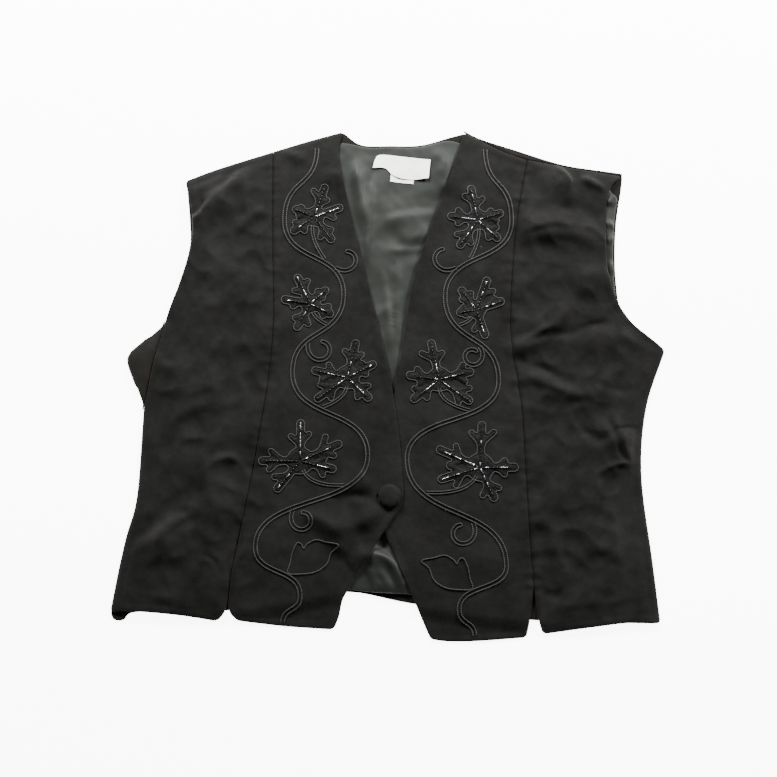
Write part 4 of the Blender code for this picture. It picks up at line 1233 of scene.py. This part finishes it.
def satin(tree, colours):
    """Acetate satin, grey-green. Its long floats give broad soft highlights along the folds, and fine
    lines run up and down the cloth."""
    place = node(tree, "ShaderNodeTexCoord").outputs["Object"]
    along = node(tree, "ShaderNodeMapping", {"Vector": place, "Scale": (700.0, 60.0, 60.0)})
    floats = node(tree, "ShaderNodeTexNoise", {"Vector": along, "Scale": 1.0, "Detail": 3.0})
    cloudy = node(tree, "ShaderNodeTexNoise", {"Vector": place, "Scale": 38.0, "Detail": 3.0})
    return {
        "Base Color": mottled(tree, cloudy, 0.18, opaque(colours.lining, 0.8), opaque(colours.lining, 1.2)),
        "Roughness": 0.58,
        "Specular IOR Level": 0.14,
        "Anisotropic": 0.4,
        "Sheen Weight": 0.04,
        "Normal": node(tree, "ShaderNodeBump", {"Height": floats, "Strength": 0.35, "Distance": 0.0002}),
    }


def twisted_cord(tree, colours):
    """Rayon cord, two plies twisted. The plies give it a fine slanting rib and a dull shine. Its colour has
    painted shade in the grooves between the plies and a painted highlight on their crowns.
    """
    along = node(tree, "ShaderNodeUVMap", uv_map="along")
    plies = node(tree, "ShaderNodeTexWave", {"Vector": along, "Scale": 0.31416, "Distortion": 0.0})
    plies = plies.outputs["Fac"]
    # Painted shade in the ply grooves and painted highlight on the ply crowns, from the same waves as the
    # rib's bump
    ply_shade_and_highlight = node(tree, "ShaderNodeMapRange", {"Value": plies, "To Min": 0.55, "To Max": 1.15})
    base = node(tree, "ShaderNodeMix", {
        0: 1.0, 6: opaque(colours.cord), 7: ply_shade_and_highlight,
    }, data_type="RGBA", blend_type="MULTIPLY")
    return {
        "Base Color": base.outputs[2],
        "Roughness": 0.6,
        "Specular IOR Level": 0.2,
        "Sheen Weight": 0.05,
        "Normal": node(tree, "ShaderNodeBump", {"Height": plies, "Strength": 0.7, "Distance": 0.0003}),
    }


def stitched_fill(tree, colours):
    """Dense rayon machine stitching. Short stitches lie every way, so it is dark and finely grained. Its
    colour is lighter on the raised tufts and darker between them: painted light and shade that follows its
    bumps.
    """
    place = node(tree, "ShaderNodeTexCoord").outputs["Object"]
    stitches = node(tree, "ShaderNodeTexVoronoi", {"Vector": place, "Scale": 850.0, "Randomness": 1.0})
    tufts = node(tree, "ShaderNodeTexNoise", {"Vector": place, "Scale": 420.0, "Detail": 3.0})
    # Painted light on the raised tufts and painted shade between them, from the same noise as the bump
    base = mottled(tree, tufts, 0.12, opaque(colours.thread, 0.5), opaque(colours.thread, 1.8))
    height = node(tree, "ShaderNodeMath", {0: tufts, 1: 1.5, 2: stitches}, operation="MULTIPLY_ADD")
    return {
        "Base Color": base,
        "Roughness": 0.6,
        "Specular IOR Level": 0.06,
        "Sheen Weight": 0.02,
        "Normal": node(tree, "ShaderNodeBump", {"Height": height, "Strength": 0.6, "Distance": 0.0005}),
    }


def silver_glass(tree, colours):
    """Silver-lined glass bugles: bright and sharp, the only glitter on the garment."""
    return {
        "Base Color": opaque(linear("#b4b8bb")),
        "Metallic": 0.85,
        "Roughness": 0.3,
        "Coat Weight": 0.5,
        "Coat Roughness": 0.05,
    }


def jet_glass(tree, colours):
    """Black pressed glass. Only its edges catch the light."""
    return {
        "Base Color": opaque(linear("#0b0b0c")),
        "Roughness": 0.28,
        "IOR": 1.52,
        "Specular IOR Level": 0.25,
    }


def woven_tape(tree, colours):
    """Woven polyester label tape, white and faintly ribbed. Its ribs are 2.5 mm apart, coarser than real
    ones of 0.4 mm, which wouldn't show."""
    place = node(tree, "ShaderNodeTexCoord").outputs["Object"]
    ribs = node(tree, "ShaderNodeTexWave", {
        "Vector": place, "Scale": 125.0, "Distortion": 0.6, "Detail": 1.0,
    }, bands_direction="Y").outputs["Fac"]
    return {
        "Base Color": opaque(colours.label),
        "Roughness": 0.5,
        "Specular IOR Level": 0.4,
        "Sheen Weight": 0.1,
        "Normal": node(tree, "ShaderNodeBump", {"Height": ribs, "Strength": 0.25, "Distance": 0.0002}),
    }


def pale_floor(tree, colours):
    """Smooth matt board. It gives back some light of its own, as a table under studio lamps does."""
    return {
        "Base Color": opaque(linear("#f5f5f3")),
        "Roughness": 0.9,
        "Emission Color": opaque(linear("#ffffff")),
        "Emission Strength": FLOOR_GLOW,
    }


# The stage, in metres and watts
FLOOR_HALF = 40.0
FLOOR_GLOW = 8.0
CAMERA_PLACE = (-0.004, -0.27014, 1.4772)
CAMERA_AIM = (-0.004, -0.00964, 0.0)
CAMERA_LENS = 74.73
LAMPS = [
    # name, place, side, watts
    ("window", (-0.45, 1.08, 0.72), 0.4, 62.0),
    ("room", (0.9, 0.95, 0.7), 0.4, 66.0),
]
SKY = 0.28


class WAISTCOAT_OT_stage(bpy.types.Operator):
    """Makes the floor, the soft studio light and the camera"""

    bl_idname = "waistcoat.stage"
    bl_label = "Make the stage"

    def execute(self, context):
        corners = np.array([(-1, -1), (1, -1), (1, 1), (-1, 1)]) * FLOOR_HALF
        mesh = bpy.data.meshes.new("floor")
        mesh.from_pydata([(x, y, -0.0002) for x, y in corners], [], [(0, 1, 2, 3)])
        mesh.materials.append(material("pale_board", pale_floor))
        floor = bpy.data.objects.new("floor", mesh)
        context.scene.collection.objects.link(floor)
        for name, place, side, watts in LAMPS:
            lamp = bpy.data.lights.new(name, "AREA")
            lamp.size = side
            lamp.energy = watts
            holder = bpy.data.objects.new(name, lamp)
            holder.location = place
            holder.rotation_euler = (-Vector(place)).to_track_quat("-Z", "Y").to_euler()
            context.scene.collection.objects.link(holder)
        world = bpy.data.worlds.new("studio")
        world.use_nodes = True
        background = world.node_tree.nodes["Background"]
        background.inputs["Color"].default_value = (1.0, 1.0, 1.0, 1.0)
        background.inputs["Strength"].default_value = SKY
        context.scene.world = world
        view = bpy.data.cameras.new("camera")
        view.lens = CAMERA_LENS
        camera = bpy.data.objects.new("camera", view)
        camera.location = CAMERA_PLACE
        aim = Vector(CAMERA_AIM) - Vector(CAMERA_PLACE)
        camera.rotation_euler = aim.to_track_quat("-Z", "Y").to_euler()
        context.scene.collection.objects.link(camera)
        context.scene.camera = camera
        return {"FINISHED"}


def underarm_seam(v):
    return edge_at([("right side, upper", 1)], v) - [GAP, 0.0]


def underarm_fold(v):
    """The fold at the wearer's right underarm, which closes on its seam at both ends."""
    fold = softened_edge([("right underarm", 1), ("right underarm fold", 1)], v)
    lean = np.minimum(1.0, 4 * np.minimum(v, 1 - v))[:, None]
    return fold * lean + (underarm_seam(v) - [LEAST_TURN, 0.0]) * (1 - lean)


def shoulder_seam(v):
    return edge_at([("left shoulder, inner", 1), ("left shoulder, outer", 1)], v) + [0.0, GAP]


def shoulder_fold(v):
    """The fold at the wearer's left shoulder, straight above its seam."""
    fold = np.maximum(edge_at([("left shoulder fold", 1)], v), shoulder_seam(v) + [0.0, LEAST_TURN])
    fold[:, 0] = shoulder_seam(v)[:, 0]
    return fold


class WAISTCOAT_OT_back(bpy.types.Operator):
    """Makes the back and the two strips of it that come over to the front"""

    bl_idname = "waistcoat.back"
    bl_label = "Make the back"

    def execute(self, context):
        settings = context.scene.waistcoat
        cloth = material("plain_weave_back_cloth", back_cloth, settings.colours)
        dress(back_panel(in_mm(settings.sizes.back_step), cloth), "back_cloth", "back")
        for name, fold, seam, steps in (
            ("back_underarm_turn", underarm_fold, underarm_seam, 60),
            ("back_shoulder_turn", shoulder_fold, shoulder_seam, 100),
        ):
            dress(strip(name, fold, seam, steps, cloth), "back_cloth", name)
        return {"FINISHED"}


class WAISTCOAT_OT_lining(bpy.types.Operator):
    """Makes the satin lining"""

    bl_idname = "waistcoat.lining"
    bl_label = "Make the lining"

    def execute(self, context):
        settings = context.scene.waistcoat
        cloth = material("acetate_satin", satin, settings.colours)
        dress(lining_panel(in_mm(settings.sizes.lining_step), cloth), "lining", "back_lining")
        return {"FINISHED"}


class WAISTCOAT_OT_fronts(bpy.types.Operator):
    """Makes the four panels of the fronts, and cuts the buttonhole"""

    bl_idname = "waistcoat.fronts"
    bl_label = "Make the fronts"

    def execute(self, context):
        settings = context.scene.waistcoat
        cloth = material("cotton_velveteen", velveteen, settings.colours)
        step = in_mm(settings.sizes.grid_step) * 1.0
        for name in PANELS:
            under = right_centre_under if name == "right_front_centre" else front_under
            panel = front_panel(name, step, under, cloth)
            if name == "right_front_centre":
                cut_buttonhole(panel)
            dress(panel, "front_cloth", name)
        return {"FINISHED"}


def twin(path, spacing):
    side = left_of(path)
    return [path + side * spacing / 2, path - side * spacing / 2]


def hairpin(path, spacing):
    """One cord that runs along a path, turns round its end and comes back beside itself."""
    out, back = twin(path, spacing)
    run = path[-1] - path[-2]
    heading = math.atan2(run[1], run[0])
    turn = heading + np.linspace(math.pi / 2, -math.pi / 2, 9)[1:-1]
    end = path[-1] + spacing / 2 * np.stack([np.cos(turn), np.sin(turn)], axis=1)
    return np.concatenate([out, end, back[::-1]])


def resampled(path, step):
    return evenly(path, max(6, round(path_length(path) / step)))


def stem_path(side, x, y, lobes, at, clear):
    """A quadratic curve that leaves the leaf between its two lower lobes and bends over to the vine."""
    base = math.radians((lobes[2][0] + lobes[3][0]) / 2)
    away = np.array([math.cos(base), math.sin(base)])
    start = np.array([x, y]) + STEM_START * away
    beside, _ = beside_vine(side, at, clear, (x, y))
    control = start + away * STEM_BEND * np.linalg.norm(beside - start)
    t = np.linspace(0.0, 1.0, 30)[:, None]
    return (1 - t) ** 2 * start + 2 * t * (1 - t) * control + t**2 * beside


def curl_path(side, at, lean, turn, length, clear):
    """A tendril that leaves the vine and turns round ever faster."""
    start, heading = beside_vine(side, at, clear)
    sign = 1 if side == "right" else -1
    t = np.linspace(0.0, 1.0, 40)
    angles = heading + sign * np.radians(lean + turn * t**1.3)
    steps = np.stack([np.cos(angles), np.sin(angles)], axis=1) * length / len(t)
    return start + np.concatenate([[[0.0, 0.0]], np.cumsum(steps, axis=0)])


def bud_path(side, clear):
    """A closed smooth curve through the bud's outline, set beside the vine."""
    foot, _ = beside_vine(side, BUD_AT, clear)
    mirror = 1 if side == "right" else -1
    return foot + smooth_curve(BUD_OUTLINE, 150, closed=True)[:-1] * [mirror, 1]


class WAISTCOAT_OT_vines(bpy.types.Operator):
    """Sews the vines, stems, curls and buds on the fronts"""

    bl_idname = "waistcoat.vines"
    bl_label = "Sew the vines"

    def execute(self, context):
        settings = context.scene.waistcoat
        cord = material("twisted_rayon_cord", twisted_cord, settings.colours)
        width, spacing = in_mm(settings.sizes.cord_width), in_mm(settings.sizes.cord_spacing)
        thin = in_mm(settings.sizes.edge_cord_width)
        clear = spacing / 2 + width / 2
        for side in ("right", "left"):
            sewn = {f"{side}_vine": (twin(resampled(vine_path(side), VINE_STEP), spacing), width)}
            for number, (x, y, at, lobes) in enumerate(LEAVES[side]):
                stem = stem_path(side, x, y, lobes, at, clear)
                sewn[f"{side}_stem_{number + 1}"] = (twin(stem, STEM_SPACING), thin)
            for number, row in enumerate(CURLS[side]):
                loop = hairpin(curl_path(side, *row, clear), CURL_SPACING)
                sewn[f"{side}_curl_{number + 1}"] = ([resampled(loop, CURL_STEP)], thin)
            sewn[f"{side}_bud"] = ([bud_path(side, clear)], width)
            for name, (paths, across) in sewn.items():
                closed = name.endswith("_bud")
                dress(cord_tube(name, paths, front_top(side), across, cord, closed), "cord", name)
        return {"FINISHED"}


def leaf_pad(name, side, number, width, material):
    """The part of a square grid that is inside the leaf. Its points near the rim are moved on to it, and
    it rises softly from the rim."""
    run = np.arange(-LEAF_HALF, LEAF_HALF, PAD_STEP)
    x, y = LEAVES[side][number][:2]
    grid = np.stack(np.meshgrid(x + run, y + run), axis=-1)
    away = outside_leaf(grid, leaf_bars(side, number)) + 0.7 * width
    slope = np.stack(np.gradient(away, PAD_STEP)[::-1], axis=-1)
    slope = slope / np.maximum(np.linalg.norm(slope, axis=-1, keepdims=True), 0.3)
    flat = grid - slope * np.where(away > -PAD_STEP, away, 0.0)[..., None]
    inside = (away[:-1, :-1] + away[:-1, 1:] + away[1:, 1:] + away[1:, :-1]) < 0
    base = front_top(side)(flat[..., 0], flat[..., 1]) + SEAT
    tufts = TUFT_HEIGHT * ripples(flat[..., 0], flat[..., 1], TUFT_LENGTH, 40 + number)
    high = base + PAD_RIM + PAD_RISE * smoothstep(-away / PAD_SLOPE) + tufts
    return cell_wall(name, flat, inside, base, high, material)


def vein_rows(side, number, sizes):
    """Places and headings of beads end to end along the middle of each long lobe, the silver ones and
    the jet ones."""
    draw = np.random.default_rng(300 + 10 * number + (0 if side == "right" else 5))
    pitch = in_mm(sizes.bead_length) + BEAD_GAP
    centre = np.array(LEAVES[side][number][:2], float)
    silver, jet = [], []
    for start, end, base, _ in leaf_bars(side, number):
        if base != LOBE_BASE:
            continue
        angle = math.atan2(*(end - start)[::-1])
        reach = np.linalg.norm(end - start)
        radii = np.arange(FIRST_BEAD + draw.uniform(0, 1.5), reach * draw.uniform(0.8, 1.05), pitch)
        here = centre + radii[:, None] * [math.cos(angle), math.sin(angle)]
        height = front_top(side)(here[:, 0], here[:, 1]) + BEAD_SEAT
        rows = np.column_stack([here, height, np.full(len(here), angle)])
        bright = draw.uniform(size=len(rows)) < SILVER_SHARE
        silver.append(rows[bright])
        jet.append(rows[~bright])
    return silver, jet


def bead_mesh(name, rows, sizes, material):
    """Short tubes with softened ends, one copy of the profile's rings for each place and heading."""
    rows = np.concatenate(rows)
    radius, half = in_mm(sizes.bead_width) / 2, in_mm(sizes.bead_length) / 2
    profile = np.array([
        (-half, 0.45), (-half, 0.8), (-half * 0.88, 1.0), (half * 0.88, 1.0), (half, 0.8), (half, 0.45),
    ])
    turn = np.linspace(0.0, 2 * math.pi, CORD_SIDES, endpoint=False)
    along = np.repeat(profile[:, 0], CORD_SIDES)
    across = np.outer(profile[:, 1], np.cos(turn)).ravel() * radius
    up = np.outer(profile[:, 1], np.sin(turn)).ravel() * radius + radius
    cos, sin = np.cos(rows[:, 3])[:, None], np.sin(rows[:, 3])[:, None]
    x = rows[:, 0, None] + along * cos - across * sin
    y = rows[:, 1, None] + along * sin + across * cos
    z = rows[:, 2, None] + up
    one = tube_faces(len(profile), CORD_SIDES)
    faces = (one[None] + (np.arange(len(rows)) * len(along))[:, None, None]).reshape(-1, 4)
    return put_mesh(name, np.stack([x, y, z], axis=-1).reshape(-1, 3), faces, material)


class WAISTCOAT_OT_leaves(bpy.types.Operator):
    """Stitches the leaves, edges them with cord and sews their beads on"""

    bl_idname = "waistcoat.leaves"
    bl_label = "Stitch the leaves"

    def execute(self, context):
        settings = context.scene.waistcoat
        fill = material("machine_stitching", stitched_fill, settings.colours)
        cord = material("twisted_rayon_cord", twisted_cord, settings.colours)
        width = in_mm(settings.sizes.edge_cord_width)
        silver, jet = [], []
        for side in ("right", "left"):
            for number in range(len(LEAVES[side])):
                name = f"{side}_leaf_{number + 1}"
                line = leaf_line(side, number, width / 2)
                dress(cord_tube(name + "_cord", [line], front_top(side), width, cord, closed=True), "cord")
                dress(leaf_pad(name, side, number, width, fill), "leaf_thread", name)
                more_silver, more_jet = vein_rows(side, number, settings.sizes)
                silver += more_silver
                jet += more_jet
        glass = material("silver_lined_glass", silver_glass)
        dress(bead_mesh("silver_beads", silver, settings.sizes, glass), "beads")
        dress(bead_mesh("jet_beads", jet, settings.sizes, material("jet_glass", jet_glass)), "beads")
        return {"FINISHED"}


def button_mesh(cloth):
    """A profile turned round the button's axis: a dome, a rim and a shank. The cover is gathered a little
    near the rim."""
    low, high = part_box("button")
    under = in_mm(high.z) - BUTTON_HEIGHT
    foot = in_mm(low.z)
    crown = BUTTON_HEIGHT - BUTTON_RIM
    t = np.linspace(0.0, math.pi / 2, 16)
    dome = np.stack([BUTTON_RADIUS * np.sin(t), under + BUTTON_RIM + crown * np.cos(t)], axis=1)
    dome[0, 0] = 0.25
    rim = [(BUTTON_RADIUS, under + 0.9), (BUTTON_RADIUS - 0.5, under + 0.25), (BUTTON_RADIUS - 1.4, under)]
    shank = [(SHANK_RADIUS + 1.2, under), (SHANK_RADIUS, under - 0.4), (SHANK_RADIUS, foot), (0.3, foot)]
    profile = np.concatenate([dome, rim, shank])
    turn = np.linspace(0.0, 2 * math.pi, BUTTON_SIDES, endpoint=False)
    radius, height = profile[:, 0, None], profile[:, 1, None]
    gathers = 0.07 * ripples(np.cos(turn) * 40, np.sin(turn) * 40, 9.0, 60)[None, :]
    near_rim = np.exp(-(((radius - BUTTON_RADIUS) / 2.2) ** 2)) * (height > under)
    ring = radius * (1 + 0.25 * gathers * near_rim)
    x = BUTTON_CENTRE[0] + ring * np.cos(turn)
    y = BUTTON_CENTRE[1] + ring * np.sin(turn)
    z = height + gathers * near_rim + np.zeros(BUTTON_SIDES)
    points = np.stack([x, y, z], axis=-1).reshape(-1, 3)
    return put_mesh("button", points, tube_faces(len(profile), BUTTON_SIDES), cloth)


class WAISTCOAT_OT_button(bpy.types.Operator):
    """Makes the covered button"""

    bl_idname = "waistcoat.button"
    bl_label = "Make the button"

    def execute(self, context):
        cloth = material("cotton_velveteen", velveteen, context.scene.waistcoat.colours)
        dress(button_mesh(cloth), "button_cover", "button")
        return {"FINISHED"}


def lining_top(x, y):
    return lining_under(x, y) + LINING_THICKNESS


def neck_label(tape):
    """A strip between two curves. It is sewn along its top, and its free corner lifts a little."""
    u, v = (spaced(side, step, TAPE_EDGE) for side, step in zip(LABEL_SIZE, (0.9, 0.7)))
    at = np.linspace(0.0, 1.0, 201)
    upper, lower = (between(u, at, smooth_curve(edge, 200)) for edge in (LABEL_TOP, LABEL_BOTTOM))
    grid = upper[None] * (1 - v)[:, None, None] + lower[None] * v[:, None, None]
    curl = LABEL_CURL * smoothstep((u - 0.75) / 0.25)[None, :] * v[:, None]
    wave = LABEL_WAVE * np.sin(2 * math.pi * (u * 2.3 + 0.1))[None, :] * v[:, None]
    low = lining_top(grid[..., 0], grid[..., 1]) + LABEL_LIFT + curl + wave
    return wall("label", grid, low, low + LABEL_WALL, tape)


def size_tag(tape):
    """A small turned rectangle, flat on the lining."""
    width, depth = SIZE_LABEL_SIZE
    u, v = spaced(width, 1.0, TAPE_EDGE), spaced(depth, 0.8, TAPE_EDGE)
    a, b = np.meshgrid((u - 0.5) * width, (0.5 - v) * depth)
    turn = math.radians(SIZE_LABEL_TURN)
    x = SIZE_LABEL_CENTRE[0] + a * math.cos(turn) - b * math.sin(turn)
    y = SIZE_LABEL_CENTRE[1] + a * math.sin(turn) + b * math.cos(turn)
    low = lining_top(x, y) + SIZE_LABEL_LIFT
    return wall("size_label", np.dstack([x, y]), low, low + SIZE_LABEL_WALL, tape)


class WAISTCOAT_OT_labels(bpy.types.Operator):
    """Makes the two blank labels"""

    bl_idname = "waistcoat.labels"
    bl_label = "Make the labels"

    def execute(self, context):
        tape = material("woven_label_tape", woven_tape, context.scene.waistcoat.colours)
        dress(neck_label(tape), "label_tape", "label")
        dress(size_tag(tape), "label_tape", "size_label")
        return {"FINISHED"}


# Flat size of each sheet in metres, width and length, and what it rests on
SHEETS = {
    "back": ((0.508, 0.463), ["floor"]),
    "back_lining": ((0.480, 0.450), ["back"]),
    "back_underarm_turn": ((0.035, 0.086), ["back"]),
    "back_shoulder_turn": ((0.158, 0.010), ["back"]),
    "right_front_side": ((0.142, 0.445), ["back_lining"]),
    "right_front_centre": ((0.158, 0.472), ["back_lining", "left_front_centre"]),
    "left_front_centre": ((0.152, 0.480), ["back_lining"]),
    "left_front_side": ((0.145, 0.446), ["back_lining"]),
    "label": ((0.056, 0.020), ["back_lining"]),
    "size_label": ((0.022, 0.010), ["back_lining"]),
}
LEAST_AREA_SHARE = 0.3


def upper_area(made):
    """Area of a closed wall's upper side: half of the area of all its faces."""
    mesh = made.data
    areas = np.empty(len(mesh.polygons))
    mesh.polygons.foreach_get("area", areas)
    return float(areas.sum()) / 2


def piece_of(node_name):
    """The piece that stands for a node."""
    for found in bpy.context.scene.objects:
        if node_name in list(found.get("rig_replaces", [])):
            return found
    raise RuntimeError(f"nothing stands for {node_name}")


class WAISTCOAT_OT_declare(bpy.types.Operator):
    """Raises an error if a cloth's piece covers too little of its flat size"""

    bl_idname = "waistcoat.declare"
    bl_label = "State the sheets"

    def execute(self, context):
        for name, (flat, rests_on) in SHEETS.items():
            piece = piece_of(name)
            area = min(upper_area(piece), flat[0] * flat[1])
            if area < LEAST_AREA_SHARE * flat[0] * flat[1]:
                raise RuntimeError(f"{name} covers too little of its flat size: {area}")
        return {"FINISHED"}


class WAISTCOAT_PT_panel(bpy.types.Panel):
    """Buttons that make the waistcoat, and its settings"""

    bl_label = "Folk Waistcoat"
    bl_idname = "WAISTCOAT_PT_panel"
    bl_space_type = "VIEW_3D"
    bl_region_type = "UI"
    bl_category = "Waistcoat"

    def draw(self, context):
        settings = context.scene.waistcoat
        for operator in OPERATORS:
            self.layout.operator(operator.bl_idname)
        for group in (settings.sizes, settings.colours):
            box = self.layout.box()
            for name in group.__annotations__:
                box.prop(group, name)


OPERATORS = [
    WAISTCOAT_OT_stage,
    WAISTCOAT_OT_back,
    WAISTCOAT_OT_lining,
    WAISTCOAT_OT_fronts,
    WAISTCOAT_OT_vines,
    WAISTCOAT_OT_leaves,
    WAISTCOAT_OT_button,
    WAISTCOAT_OT_labels,
    WAISTCOAT_OT_declare,
]
CLASSES = [WaistcoatSizes, WaistcoatColours, WaistcoatSettings, *OPERATORS, WAISTCOAT_PT_panel]


def register():
    for cls in CLASSES:
        bpy.utils.register_class(cls)
    bpy.types.Scene.waistcoat = bpy.props.PointerProperty(type=WaistcoatSettings)


def unregister():
    del bpy.types.Scene.waistcoat
    for cls in reversed(CLASSES):
        bpy.utils.unregister_class(cls)


def main():
    register()
    for operator in OPERATORS:
        group, name = operator.bl_idname.split(".")
        getattr(getattr(bpy.ops, group), name)()


if __name__ == "__main__":
    main()
